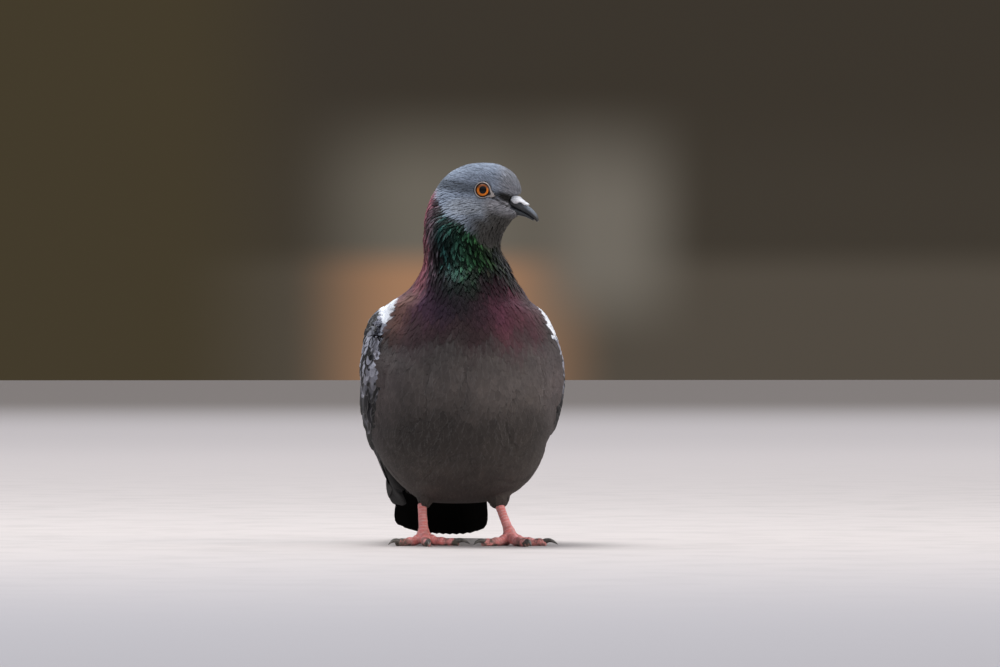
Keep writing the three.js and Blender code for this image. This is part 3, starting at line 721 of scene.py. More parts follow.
BARBS = new_group("Barbs", {"Colour": START_COLOUR, "Barb Width": 0.35, "Contrast": 0.25, "Shaft": 0.5,
                            "Edge": 0.2}, {"Colour": "Color", "Height": "Float"}, barbs)
MOTTLE = new_group("Mottle", {"Colour": START_COLOUR, "Tint": START_COLOUR, "Size": 0.01, "Amount": 0.3},
                   {"Colour": "Color", "Mask": "Float"}, mottle)
SCUTES = new_group("Scutes", {"Plate": START_COLOUR, "Edge": START_COLOUR, "Dirt": START_COLOUR},
                   {"Colour": "Color", "Height": "Float", "Dirt": "Float"}, scutes)


def mottled(tree, colour, tint, size, amount):
    return use_group(tree, MOTTLE, {"Colour": colour, "Tint": tint, "Size": size, "Amount": amount})


def new_material(name, roughness, make, bump, **constants):
    """A material: constants on the shader's own sockets, what make(tree) gives for the others and for the
    height, and the strength and depth of the bump."""
    material = bpy.data.materials.new(name)
    material.use_nodes = True
    tree = material.node_tree
    inputs = tree.nodes["Principled BSDF"].inputs
    inputs["Roughness"].default_value = roughness
    for key, value in constants.items():
        inputs[key.replace("_", " ")].default_value = value
    wires = make(tree)
    if bump:
        heights = {"Height": wires.pop("Height"), "Strength": bump[0], "Distance": bump[1]}
        wires["Normal"] = put(tree, "Bump", heights)
    for key, wire in wires.items():
        feed(inputs[key], wire)
    return material


def feather_material(name, roughness, contrast, shaft, edge, gloss=0.0, specular=0.3):
    def make(tree):
        vane = use_group(tree, BARBS, {"Colour": fact(tree, "plumage", "Color"), "Contrast": contrast,
                                       "Shaft": shaft, "Edge": edge})
        lighter = blend(1.0, vane["Colour"], (1.6, 1.56, 1.5), "MULTIPLY")
        wires = {"Base Color": mottled(tree, vane["Colour"], lighter, 0.012, 0.4)["Colour"],
                 "Height": vane["Height"]}
        if gloss:
            shine = fact(tree, "plumage", "Alpha")
            wires.update({"Metallic": shine * gloss, "Roughness": shine * -0.22 + roughness})
        return wires

    return new_material(name, roughness, make, (0.35, 0.00006), Specular_IOR_Level=specular)


def down(tree):
    """The skin under the coat, with its thin down in the coat's colours."""
    ground = mottled(tree, fact(tree, "plumage", "Color"), (0.01, 0.01, 0.01), 0.004, 0.5)
    return {"Base Color": ground["Colour"], "Height": ground["Mask"]}


def horn_material(name, colour, tint, roughness, chalk_highlight=None):
    """Horn with fine grain. Its last colour is a pale chalky cover, laid where the piece's own mask says so;
    on the bill it is partly a painted highlight.
    """
    def make(tree):
        ground = mottled(tree, colour, tint, 0.0035, 0.7)["Colour"]
        grain = place(tree).noise(1500.0, 4.0)
        rough = grain * 0.3 + (roughness - 0.12)
        if chalk_highlight is not None:
            paled = fact(tree, "chalk_highlight").split()[0].math("MULTIPLY", grain.ramp(0.2, 0.55), clamp=True)
            ground, rough = blend(paled, ground, chalk_highlight), paled * 0.3 + rough
        return {"Base Color": ground, "Roughness": rough, "Height": grain}

    return new_material(name, roughness, make, (0.25, 0.0002), Specular_IOR_Level=0.5)


def chalk_material(name, colour, tint, pebble):
    """Bare skin, chalky or finely warty, such as the cere and the ring round the eye with its dark rim."""
    def make(tree):
        cells = put(tree, "TexVoronoi", {"Vector": place(tree), "Scale": pebble}, "Distance", feature="F1")
        ground = mottled(tree, colour, tint, 0.002, 0.55)["Colour"]
        ground = blend(cells.ramp(0.35, 0.75) * 0.35, ground, colour * 0.55)
        ground = blend(fact(tree, "rim", "Fac"), ground, srgb(34, 26, 24))
        return {"Base Color": ground, "Height": 1.0 - cells}

    return new_material(name, 0.72, make, (0.35, 0.0002), Specular_IOR_Level=0.3)


def leg(tree):
    skin = use_group(tree, SCUTES, {"Plate": srgb(236, 134, 130), "Edge": srgb(244, 200, 196),
                                    "Dirt": srgb(84, 78, 70)})
    return {"Base Color": skin["Colour"], "Roughness": skin["Dirt"] * 0.35 + 0.45, "Height": skin["Height"]}


def eye(tree):
    """Pupil, and orange iris with fine rays, shaded above, and a dark rim."""
    out_mm, turn, above = fact(tree, "iris").split()
    rays = put(tree, "CombineXYZ", {0: out_mm * 0.7, 1: turn * 9.0}).noise(2.2, 5.0)
    iris = blend(rays.ramp(0.3, 0.7), srgb(178, 80, 9), srgb(230, 134, 24))
    # Painted shade from the upper lid darkens the top of the iris.
    iris = blend(above.ramp(-0.6, 1.8) * 0.9, iris, srgb(84, 42, 14))
    iris = blend(out_mm.ramp(3.0, 3.3), iris, srgb(30, 14, 9))
    return {"Base Color": blend((out_mm + rays * 0.08).ramp(2.18, 2.04), iris, (0.0008, 0.0007, 0.0007))}


def pale_floor(tree):
    ground = mottled(tree, srgb(176, 168, 165), srgb(160, 153, 150), 0.05, 0.5)
    away = place(tree).split()[1]
    colour = ground["Colour"]
    # Lighter behind the bird and darker far off; darker towards the camera as a painted fall-off of light.
    for start, stop, farther in ((0.8, 3.5, (208, 198, 194)), (5.0, 9.5, (130, 119, 111)),
                                 (0.2, -1.4, (150, 146, 149))):
        colour = blend(away.ramp(start, stop), colour, srgb(*farther))
    return {"Base Color": colour, "Height": ground["Mask"]}


HEAD_PLUMAGE = feather_material("head_plumage", 0.75, contrast=0.35, shaft=0.0, edge=0.35, gloss=0.7)
NECK_PLUMAGE = feather_material("neck_plumage", 0.6, contrast=0.4, shaft=0.2, edge=0.0, gloss=0.8,
                                specular=0.1)
BODY_PLUMAGE = feather_material("body_plumage", 0.85, contrast=0.35, shaft=0.15, edge=0.3, gloss=0.7)
COVERT_PLUMAGE = feather_material("covert_plumage", 0.7, contrast=0.3, shaft=0.3, edge=0.35, specular=0.2)
FLIGHT_PLUMAGE = feather_material("flight_plumage", 0.65, contrast=0.4, shaft=0.6, edge=0.35, specular=0.1)
TAIL_PLUMAGE = feather_material("tail_plumage", 0.9, contrast=0.3, shaft=0.2, edge=0.0, specular=0.03)
SKIN_DOWN = new_material("skin_down", 0.85, down, (0.4, 0.0003), Specular_IOR_Level=0.2)
BILL_HORN = horn_material("bill_horn", srgb(26, 28, 31), srgb(45, 49, 56), 0.4, chalk_highlight=srgb(94, 101, 112))
CLAW_HORN = horn_material("claw_horn", srgb(74, 70, 66), srgb(132, 128, 122), 0.5)
CERE_CHALK = chalk_material("cere_chalk", srgb(214, 216, 222), srgb(176, 178, 186), 1900.0)
LID_SKIN = chalk_material("eye_ring_skin", srgb(152, 146, 144), srgb(114, 105, 104), 2300.0)
LEG_SCALES = new_material("leg_scales", 0.5, leg, (0.5, 0.00015), Specular_IOR_Level=0.45,
                          Subsurface_Weight=0.08, Subsurface_Scale=0.002)
EYE_IRIS = new_material("eye_iris", 0.4, eye, None, Specular_IOR_Level=0.1, Coat_Weight=0.4,
                        Coat_Roughness=0.02, Coat_IOR=1.38)
FLOOR_PALE = new_material("pale_floor", 0.75, pale_floor, (0.1, 0.0005), Specular_IOR_Level=0.3)

# ---------- the folded wings' outer faces ----------


class Wing:
    """One folded wing: points on its outer face from the shoulder (t = 0) to the tip (t = 10), and across
    from its lower front edge (v = 0) to its upper back edge (v = 1)."""

    RIM = 0.72  # beyond this share of the half width the wing's face turns in towards the body
    STEP = 0.02  # between the points that a direction is read from

    def __init__(self, side):
        self.side = side
        rise = [row[6] * (side > 0) for row in WING]
        back = [(0, b[0], b[1] + up) for (b, *_), up in zip(WING, rise)]
        front = [(0, f[0], f[1] + up) for (_, f, *_), up in zip(WING, rise)]
        half = [row[2] * (1 if side > 0 else row[7]) for row in WING]
        self.loft = Loft(back, front, half, [2.0] * len(WING))
        self.start, self.stop = np.radians([row[3] for row in WING]), np.radians([row[4] for row in WING])
        self.thick = np.array([row[5] for row in WING], float)

    def point(self, t, v, sink=0.0):
        t, v, sink = np.broadcast_arrays(np.asarray(t, float), v, sink)
        inside = np.clip(t, 0, self.loft.last)
        start, stop, thick = (smooth(curve, inside) for curve in (self.start, self.stop, self.thick))
        rim = np.clip((np.abs(2 * v - 1) - self.RIM) / (1 - self.RIM), 0, 1.4)
        shoulder = np.clip(1 - inside / 0.5, 0, 1)
        inward = thick * (0.8 * rim ** 2 + 0.9 * shoulder ** 2) + sink
        return self.loft.point(inside, start + v * (stop - start), inward) * (self.side, 1, 1)

    def frame(self, t, v, sink=0.0):
        """Point, outward normal and the way to the tip."""
        low, high = np.maximum(t - self.STEP, 0), np.minimum(t + self.STEP, self.loft.last)
        along = (self.point(high, v, sink) - self.point(low, v, sink)) / (high - low)[..., None]
        beside = self.point(t, v + self.STEP, sink) - self.point(t, v - self.STEP, sink)
        return self.point(t, v, sink), unit(np.cross(along, beside)) * self.side, along

    def shafts(self, t, v, length, drift, steps, sink):
        """Shafts that start at (t, v) and run towards the tip, drifting up by a share of the wing's width."""
        t, v, length, drift, sink = np.broadcast_arrays(np.asarray(t, float), v, length, drift, sink)
        rows = []
        for k in range(steps + 1):
            beyond = np.maximum(t - self.loft.last, 0)
            here = np.minimum(t, self.loft.last - self.STEP)
            at, normal, along = self.frame(here, v + drift * k / steps, sink)
            rows.append((at + along * beyond[..., None], normal))
            t = t + length / steps / np.maximum(np.linalg.norm(along, axis=-1), 1)
        spine, normals = (np.stack([row[i] for row in rows], 1) for i in range(2))
        heading = unit(np.gradient(spine, axis=1))
        return spine, normals, np.cross(normals, heading)

    def arc(self, t, low, high):
        """Millimetres across the wing from v = low to v = high at station t."""
        v = np.linspace(low, high, 24)
        return np.linalg.norm(np.diff(self.point(np.full(24, float(t)), v), axis=0), axis=1).sum()


WINGS = {"right": Wing(-1), "left": Wing(1)}

# ---------- the form that the coat lies on ----------

FORM_ROWS = 5  # rings for each body station
FORM_ROUND = 144
FORM_VOXEL = 1.15
FLANK_TUCK = 5.0
WEAR = 0.3  # how fast ridges are worn down against dents being filled
FILL_ROUNDS = 200
THIGH_TO = 46  # height where the thighs go over into the belly
# How far the skin lies inside the coat's outer face, by height
SKIN_DEPTH = ([18, 30, 60, 110, 150, 168, 180, 204], [0.9, 1.6, 2.6, 2.6, 1.9, 1.3, 0.9, 0.7])


def corner_weights(corners, places):
    """How near each place is to the three corners of its triangle, as shares."""
    a, b, c = corners[:, 0], corners[:, 1], corners[:, 2]
    ab, ac, ap = b - a, c - a, places - a
    d00, d01, d11 = (ab * ab).sum(1), (ab * ac).sum(1), (ac * ac).sum(1)
    d20, d21 = (ap * ab).sum(1), (ap * ac).sum(1)
    scale = np.maximum(d00 * d11 - d01 * d01, 1e-12)
    v = (d11 * d20 - d01 * d21) / scale
    w = (d00 * d21 - d01 * d20) / scale
    weights = np.clip(np.stack([1 - v - w, v, w], 1), 0, 1)
    return weights / weights.sum(1, keepdims=True)


class Form:
    """A closed surface in millimetres, with facts at its points, that answers what lies nearest."""

    def __init__(self, points, faces):
        self.points, self.faces = points, faces
        self.normals = vertex_normals(points, faces)
        self.tree = BVHTree.FromPolygons(points.tolist(), faces.tolist())
        corners = points[faces]
        self.areas = np.linalg.norm(face_normals(corners), axis=1) / 2
        self.middles = corners.mean(1)

    def nearest(self, points):
        hits = [self.tree.find_nearest(p) for p in points.tolist()]
        places = np.array([hit[0][:] for hit in hits])
        faces = np.array([hit[2] for hit in hits])
        return places, faces, corner_weights(self.points[self.faces[faces]], places)

    def at(self, values, faces, weights):
        return (values[self.faces[faces]] * weights[..., None]).sum(1)


def thigh_rings(leg):
    hip, knee = np.array(leg[0], float), np.array(leg[1], float)
    shares = np.linspace(0, 1, 24)
    radii = mix(THIGH_END_R, THIGH_TOP_R, (1 - shares) ** 0.72)
    down = unit(knee - hip)
    aside = unit(np.cross(down, UP))
    turn = circle(48)
    round_way = np.cos(turn)[:, None] * aside + np.sin(turn)[:, None] * np.cross(aside, down)
    return (hip + shares[:, None] * (knee - hip))[:, None] + radii[:, None, None] * round_way


def wing_slab(wing):
    """The wing as a closed slab, for the coat of the breast to run up against."""
    t, v = grid(np.linspace(0.05, 9.7, 60), np.linspace(0.01, 0.99, 26))
    deep = 0.8 * smooth(wing.thick, t) * (1 - 0.7 * np.abs(2 * v - 1) ** 4) + 1
    return slab(wing.point(t, v, 0.3), wing.point(t, v, deep), wing.side)


def bill_rings(stations, rows, wide, high):
    """Rings of a part along the bill; wide and high say how far each point lies out and up, -1 to 1."""
    upper, lower, half = columns_of(stations, np.linspace(0, len(stations) - 1, rows))
    middle, rise = (upper + lower)[:, None] / 2, (upper - lower)[:, None] / 2
    return head_point(middle[..., 0] + rise[..., 0] * high, half[:, None] * wide,
                      middle[..., 1] + rise[..., 1] * high)


def chin_plume():
    """The feathers under the bill's root, out to where the lower bill is bare."""
    turn = circle(40)
    points, faces = closed_tube(bill_rings(CHIN_PLUME, 24, np.cos(turn), np.sin(turn)))
    return points, faces[:, ::-1]


def creases(points):
    """Depth of the soft partings between the clumps of belly feathers."""
    z = points[:, 2]
    where = fade(z, 112, 84) * fade(z, 24, 38)
    lines = np.abs(ripple(points * (1.0, 1.0, 0.55), 17, 41) + 0.25 * ripple(points, 7, 43))
    return 0.8 * where * bell(lines, 0, 0.24)


def filled(points, faces, where):
    """Points moved outwards where the surface dents in, as a coat closes over a gap, and a little inwards
    on ridges; where says how much."""
    faces = faces[(where[faces] > 0).any(1)]
    ends = np.concatenate([faces[:, [0, 1]], faces[:, [1, 2]], faces[:, [2, 0]]])
    here, there = np.concatenate([ends, ends[:, ::-1]]).T
    count = np.maximum(np.bincount(here, minlength=len(points)), 1)[:, None]
    for n in range(FILL_ROUNDS):
        if n % 6 == 0:
            normals = vertex_normals(points, faces)
        middle = np.stack([np.bincount(here, points[there, k], len(points)) for k in range(3)], -1) / count
        out = ((middle - points) * normals).sum(1)
        points = points + normals * (np.where(out > 0, out, WEAR * out) * where)[:, None]
    return points


def wing_guide(wing):
    """The wing's outer face, with its station and the way to the tip at each point."""
    t, v = grid(np.linspace(0.03, 9.6, 70), np.linspace(0.01, 0.99, 36))
    at, _, along = wing.frame(t, v)
    guide = Form(at.reshape(-1, 3), grid_faces(*t.shape, False))
    return guide, np.concatenate([t[..., None], unit(along)], -1).reshape(-1, 4)


def outline_gaps(points):
    """Heights, and for each side how much farther out OUTLINE lies there than the points do."""
    levels = np.arange(56, 142, 1.5)
    gaps = {}
    for side, (heights, reach) in OUTLINE.items():
        out = side * points @ SIDEWAYS
        widest = np.array([out[np.abs(points[:, 2] - level) < 1].max() for level in levels])
        gap = (np.interp(levels, heights, reach) - widest) * fade(levels, 57, 64) * fade(levels, 137, 132)
        gaps[side] = np.convolve(np.pad(gap, 1, "edge"), [0.25, 0.5, 0.25], "valid")
    return levels, gaps


def drawn_out(points, levels, gaps):
    """The points moved sideways to OUTLINE, and the right flank drawn in, so that the wing's end shows."""
    x, y, z = points.T
    moved = points.copy()
    for side, gap in gaps.items():
        out = side * points @ SIDEWAYS
        moved[:, 0] += side * np.interp(z, levels, gap) * fade(out, 14, 34) * fade(y, 56, 30)
    moved[:, 0] += FLANK_TUCK * fade(z, 58, 30) * fade(-x, 14, 34) * fade(y, 78, 50)
    return moved


def head_lie(points, flow):
    """The lie of the coat: away from the bill on the head, and parted to either side of the eyes."""
    p, q, z = head_axes(points)
    from_bill = unit(points - head_point(20.0, 0, 180.5)) + (0, 0, -0.22)
    flow = mix(flow, unit(from_bill), fade(z, 160, 176)[:, None])
    out = np.stack([p - EYE_AHEAD, z - EYE_HIGH], -1)
    near = bell(np.hypot(*out.T), 4.0, 2.6) * (np.abs(q) > 5)
    way = unit(out)
    way = way[:, :1] * FORWARD + way[:, 1:] * UP
    inwards = np.minimum((flow * way).sum(1), 0)
    return flow - (inwards * near)[:, None] * way + (0.3 * near)[:, None] * way


def coat_form(wings, outline=None):
    """The bird's outline as one surface, with the lie of the coat at each point; with its wings, or bare."""
    t, angle = grid(np.linspace(0, BODY.last, BODY.last * FORM_ROWS + 1),
                    np.linspace(-math.pi / 2, 1.5 * math.pi, FORM_ROUND, endpoint=False))
    rings = BODY.point(t, angle)
    loft = Form(*closed_tube(rings))
    parts = [closed_tube(rings), chin_plume()] + [closed_tube(thigh_rings(leg)) for leg in LEGS.values()]
    points, faces = fused(parts + [wing_slab(wing) for wing in wings], FORM_VOXEL, 3)
    if wings:
        x, y, z = points.T
        shoulder = fade(np.abs(x), 18, 26) * fade(z, 50, 58) * fade(z, 146, 136) * fade(y, 34, 22)
        points = filled(points, faces, shoulder)
    p, _, z = head_axes(points)
    socket = 1.7 * np.exp(-((p - 16.0) / 3.0) ** 2 - ((z - 183.4) / 2.6) ** 2)  # for the cere
    points = points - vertex_normals(points, faces) * (creases(points) + socket)[:, None]
    outline = outline or outline_gaps(points)
    form = Form(drawn_out(points, *outline), faces)
    form.outline = outline
    # Each point's station and angle on the loft, and the way back and down along it
    lie = np.concatenate([unit(np.gradient(rings, axis=0)).reshape(-1, 3) * -1, np.zeros((2, 3))])
    spots = np.concatenate([np.stack([t, np.cos(angle), np.sin(angle)], -1).reshape(-1, 3),
                            [[0, 0, 0], [BODY.last, 0, 0]]])
    places, hit, weights = loft.nearest(points)
    form.station = loft.at(spots, hit, weights)
    flow = head_lie(points, loft.at(lie, hit, weights))
    away = ((points - places) * loft.normals[loft.faces[hit, 0]]).sum(1)
    x, y, z = points.T
    form.thigh = fade(away, 0.8, 3.0) * (z < THIGH_TO) * (np.abs(x) < 38) * (y < 34)
    front = breast_reach(form.points)
    form.wing, form.wing_flow = np.full(len(points), 10.0), flow.copy()
    on_wing = away > 1.6
    for wing in wings:
        mine = (np.sign(x) == wing.side) & (away > -1) & (z < 150)
        guide, facts = wing_guide(wing)
        near, hit, weights = guide.nearest(points[mine])
        facts = guide.at(facts, hit, weights)
        on_wing[mine] |= np.linalg.norm(near - points[mine], axis=1) < 1.3
        form.wing[mine], form.wing_flow[mine] = facts[:, 0], facts[:, 1:]
        flow[mine] = mix(flow[mine], facts[:, 1:], fade(front[mine], 3, -1)[:, None])
    low = (away > 1.2) & (form.thigh > 0)
    form.free = on_wing & ~low & (front < 1 + 3 * fade(z, 100, 112)) & (z < 160)
    if wings:  # the breast's coat lies over the wing's front edge
        over = 0.5 * fade(front, -2, 2) * fade(away, 0.5, 2) * (z < 150)
        form.points = form.points + form.normals * over[:, None]
    for hip, knee, *_ in LEGS.values():
        hip, knee = np.array(hip, float), np.array(knee, float)
        here = form.thigh * (np.sign(x) == np.sign(hip[0]))
        flow = mix(flow, unit(knee - hip), here[:, None])
    form.flow = unit(flow)
    return form


FORM = coat_form(list(WINGS.values()))
BARE_FORM = coat_form([], FORM.outline)


def form_angle(station):
    return np.arctan2(station[..., 2], station[..., 1])


def unwrap_place(station):
    """The place of points on the unwrap of the body: round it, and from the rump up to the crown. The two
    thighs have a strip of their own above."""
    round_share = (form_angle(station) + math.pi / 2) / (2 * math.pi) % 1.0
    return np.stack([0.01 + 0.98 * round_share, 0.01 + 0.90 * station[..., 0] / BODY.last], -1)


def thigh_place(points):
    """The same for points on the thighs: round the leg, and down it."""
    x, y, z = np.moveaxis(points, -1, 0)
    side = np.sign(x)
    middle, depth = (np.where(side < 0, LEGS["right"][1][k], LEGS["left"][1][k]) for k in (0, 1))
    turn = np.arctan2(y - depth, x - middle) / (2 * math.pi) + 0.5
    return np.stack([0.25 + 0.25 * side + 0.01 + 0.48 * turn, 0.93 + 0.06 * np.clip(z / THIGH_TO, 0, 1)], -1)


def build_skin():
    """The skin under the coat, in the coat's colours but darker."""
    form = BARE_FORM
    points = form.points - form.normals * np.interp(form.points[:, 2], *SKIN_DEPTH)[:, None]
    colour, shine = plumage(form.points, form_angle(form.station))
    place = unwrap_place(form.station)[form.faces]
    wraps = np.ptp(place[..., 0], axis=1) > 0.5
    place[..., 0] = np.where(wraps[:, None] & (place[..., 0] < 0.5), 0.99, place[..., 0])
    legs = thigh_place(points)[form.faces]
    wraps = np.ptp(legs[..., 0], axis=1) > 0.2
    legs[..., 0] = np.where(wraps[:, None], legs[..., 0].max(1, keepdims=True), legs[..., 0])
    on_thigh = (form.thigh[form.faces].mean(1) > 0.5)[:, None, None]
    facts = {"plumage": np.concatenate([colour * 0.7, shine[:, None]], 1)}
    nodes = ["head", "neck", "breast", "belly", "rump", "thigh_right", "thigh_left"]
    piece("skin", points, form.faces, SKIN_DOWN, "breast_feathers", nodes, facts,
          np.where(on_thigh, legs, place))


build_skin()

# ---------- feathers ----------

FRAY = 0.05  # how far free barb ends stray along the feather
SMALL_CELL = 0.003  # side of a small feather's place on the unwrap
HEAD_FIRST = 166  # feathers above this height are laid first
FACE_FROM = 168  # height above which feathers shrink towards the face
HEAD_COAT_FROM = 170
NECK_COAT_FROM = 116
BREAST_COAT_FROM = 74
BACK_WIDER = 1.12  # spacing on the back against that of the rest


def vane_template(stops, lanes, fingers, sweep):
    """One feather laid flat: rows across at stops along the shaft, points at lanes each side of it, and free
    barb ends beyond the last lane. Returns places (along, across), triangles, and which points are free."""
    columns = [-lane for lane in reversed(lanes)] + [0.0] + list(lanes)
    count = len(columns)
    places = [(stop, lane) for stop in stops for lane in columns]
    faces = []
    for i in range(len(stops) - 1):
        for j in range(count - 1):
            a, c = i * count + j, (i + 1) * count + j
            faces += [(a, c, c + 1), (a, c + 1, a + 1)]
    top, tip = len(places) - count, len(places)
    places.append((1.0, 0.0))
    faces += [(top + j, tip, top + j + 1) for j in range(count - 1)]
    free = len(places)
    for side in (-1, 1):
        for i in range(len(stops) - 1):
            for k in range(fingers):
                start, end = (mix(stops[i], stops[i + 1], (k + shift) / fingers) for shift in (0, 1))
                at, edge = len(places), side * lanes[-1]
                places += [(start, edge), (end, edge), (min(end + sweep, 0.995), side * 1.0)]
                faces.append((at, at + 1, at + 2) if side > 0 else (at + 1, at, at + 2))
    places = np.array(places, float)
    loose = (np.arange(len(places)) >= free) & (np.abs(places[:, 1]) == 1)
    return places[:, 0], places[:, 1], np.array(faces), loose


TUFT = vane_template([0, 0.45, 0.75], [0.5], 1, 0.14)
HACKLE = vane_template([0, 0.4, 0.62, 0.8, 0.92], [0.72], 2, 0.05)
CONTOUR = vane_template([0, 0.38, 0.58, 0.74, 0.86, 0.95], [0.78], 2, 0.04)
COVERT = vane_template([0, 0.2, 0.36, 0.5, 0.62, 0.73, 0.82, 0.9, 0.96], [0.34, 0.68, 1.0], 0, 0)
FLIGHT = vane_template([0, 0.1, 0.2, 0.3, 0.4, 0.5, 0.6, 0.69, 0.77, 0.84, 0.9, 0.945, 0.98],
                       [0.05, 0.35, 0.68, 1.0], 0, 0)


def rounded(s, blunt):
    """Half width along a feather: it swells from the root, and ends in a round tip, a pointed one where blunt
    is under 1, or a square one where it is over 1."""
    swell = np.clip(s / 0.35, 0, 1) ** 0.6
    square = 2.4 + 12 * np.maximum(blunt - 1, 0)
    tip = np.sqrt(np.clip(1 - np.clip((s - 0.5) / 0.5, 0, 1) ** square, 0, 1))
    spear = np.clip(1 - np.clip((s - 0.35) / 0.65, 0, 1), 0, 1) ** 0.75
    return swell * mix(spear, tip, np.minimum(blunt, 1))


class Coat:
    """Feathers gathered for one piece."""

    def __init__(self):
        self.layers, self.faces, self.count = [], [], 0

    def add(self, template, shafts, length, half, depth, blunt, colour, shine, places, cell=SMALL_CELL,
            camber=0.02, lift=0.0, tilt=0.0, wave=0.0, crisp=1.0):
        """Lays one vane along each shaft. Sizes are millimetres, one for each feather or one for all; crisp
        is how much of its own shading each vane keeps against that of the whole coat. The colour may be a
        function of the vanes' points."""
        s, w, faces, free = template
        n, m, last = len(shafts[0]), len(s), shafts[0].shape[1] - 1
        length, half, depth, blunt, lift, tilt, camber, shine, crisp = (
            np.broadcast_to(np.asarray(x, float), (n,))[:, None]
            for x in (length, half, depth, blunt, lift, tilt, camber, shine, crisp))
        along = np.clip(s[None] + np.where(free, rng.uniform(-FRAY, FRAY, (n, m)), 0), 0, 1)
        across = w[None] * np.where(free, rng.uniform(0.8, 1.12, (n, m)), 1)
        step = along * last
        i = np.clip(step.astype(int), 0, last - 1)
        row = np.arange(n)[:, None]
        at, normal, side = (mix(x[row, i], x[row, i + 1], (step - i)[..., None]) for x in shafts)
        reach = across * half * rounded(along, blunt)
        rise = -depth * (1 - along) ** 1.5 + lift * along ** 4 - camber * reach ** 2 - tilt * across
        rise = rise + wave * half * np.sin(along * 9 + row * 1.7) * across ** 2
        at = at + side * reach[..., None] + normal * rise[..., None]
        chance = rng.uniform(0, 1, (n, 1))
        colour = colour(at) if callable(colour) else np.broadcast_to(colour[:, None], (n, m, 3))
        cell = np.broadcast_to(np.asarray(cell, float), (2,))
        spread = np.stack([w * cell[0] / 2, (s - 0.5) * cell[1]], -1)
        layer = [at, normal, np.clip(places[:, None] + spread[None], 0.0005, 0.9995), colour]
        blank = np.zeros((n, m))
        layer += [np.stack(np.broadcast_arrays(*values), -1) for values in (
            (shine + blank,), (along, across, chance), (length, half, blank), (crisp + blank,))]
        self.layers.append([part.reshape(n * m, -1) for part in layer])
        self.faces.append((faces + (self.count + np.arange(n) * m)[:, None, None]).reshape(-1, 3))
        self.count += n * m

    def build(self, name, material, slot, nodes=()):
        layers = (np.concatenate(parts) for parts in zip(*self.layers))
        points, lie, place, colour, shine, vane, size, crisp = layers
        faces = np.concatenate(self.faces)
        own = vertex_normals(points, faces)
        own = own * np.where((own * lie).sum(1, keepdims=True) < 0, -1, 1)
        facts = {"plumage": np.concatenate([colour, shine], 1), "vane": vane, "vane_size": size}
        piece(name, points, faces, material, slot, nodes, facts, place[faces], unit(mix(lie, own, crisp)))


def scatter(form, keep, spacing, tries_each):
    """Roots spread over the faces where keep is true, no two closer than their spacing in millimetres.
    tries_each is how many places are tried for each root that would fit."""
    density = form.areas * keep / spacing ** 2
    tries = int(density.sum() * tries_each)
    faces = rng.choice(len(density), tries, p=density / density.sum())
    shares = rng.dirichlet([1, 1, 1], tries)
    points = form.at(form.points, faces, shares)
    cells = np.floor(points / spacing[keep].max()).astype(int).tolist()
    gaps = (spacing[faces] ** 2).tolist()
    near = [(i, j, k) for i in (-1, 0, 1) for j in (-1, 0, 1) for k in (-1, 0, 1)]
    taken, chosen = {}, []
    for n, ((x, y, z), (i, j, k), gap) in enumerate(zip(points.tolist(), cells, gaps)):
        others = (other for di, dj, dk in near for other in taken.get((i + di, j + dj, k + dk), ()))
        if all((a - x) ** 2 + (b - y) ** 2 + (c - z) ** 2 >= gap for a, b, c in others):
            taken.setdefault((i, j, k), []).append((x, y, z))
            chosen.append(n)
    return faces[chosen], shares[chosen]


def lay_shafts(form, lie, faces, shares, length, turn, steps):
    """Follows the lie from each root: points, normals and sideways directions along each shaft."""
    at = form.at(form.points, faces, shares)
    rows = []
    for k in range(steps + 1):
        normal = unit(form.at(form.normals, faces, shares))
        flow = form.at(lie, faces, shares)
        flow = unit(flow - normal * (flow * normal).sum(1, keepdims=True))
        heading = flow * np.cos(turn)[:, None] + np.cross(normal, flow) * np.sin(turn)[:, None]
        rows.append((at, normal, np.cross(normal, heading)))
        if k < steps:
            at, faces, shares = form.nearest(at + heading * (length / steps)[:, None])
    return [np.stack([row[i] for row in rows], 1) for i in range(3)]


# Coat sizes by height, in millimetres, for a head that begins at a height of 172 all round
HEIGHTS = [18, 30, 60, 95, 118, 135, 150, 163, 172, 182, 204]
LENGTHS = [5.5, 8.0, 12.0, 12.0, 10.5, 10.0, 10.4, 8.6, 4.9, 3.5, 2.9]
HALVES = [1.0, 1.9, 2.9, 2.7, 2.1, 1.8, 1.6, 1.3, 0.85, 0.64, 0.56]
SPACINGS = [1.25, 1.75, 2.2, 2.0, 1.6, 1.55, 1.6, 1.3, 0.98, 0.82, 0.76]
DEPTHS = [0.8, 0.9, 0.8, 0.6, 0.6, 0.9, 1.5, 1.1, 0.8, 0.6, 0.55]

# The coats of the body: material, slot, vane, and how crisp each feather stands out
BODY_COATS = {
    "head": (HEAD_PLUMAGE, "head_feathers", TUFT, 0.5),
    "neck": (NECK_PLUMAGE, "neck_feathers", HACKLE, 0.15),
    "breast": (BODY_PLUMAGE, "breast_feathers", CONTOUR, 0.15),
    "belly": (BODY_PLUMAGE, "breast_feathers", CONTOUR, 0.3),
    "back": (BODY_PLUMAGE, "breast_feathers", CONTOUR, 0.45),
}

# The white patch at each shoulder: its lowest height, how far out and how far back it reaches
PATCH = {"right": (118.5, 44.0, 12), "left": (110.5, 60, 20)}
PATCH_WHITE = srgb(220, 223, 231)
SHOULDER_GREY = srgb(132, 134, 146)


def by_height(values, points):
    z = points[:, 2]
    begins = np.interp(head_axes(points)[0], *HEAD_FROM)
    return np.interp(z + (172 - begins) * fade(z, 140, 158) * fade(z, 200, 190), HEIGHTS, values)


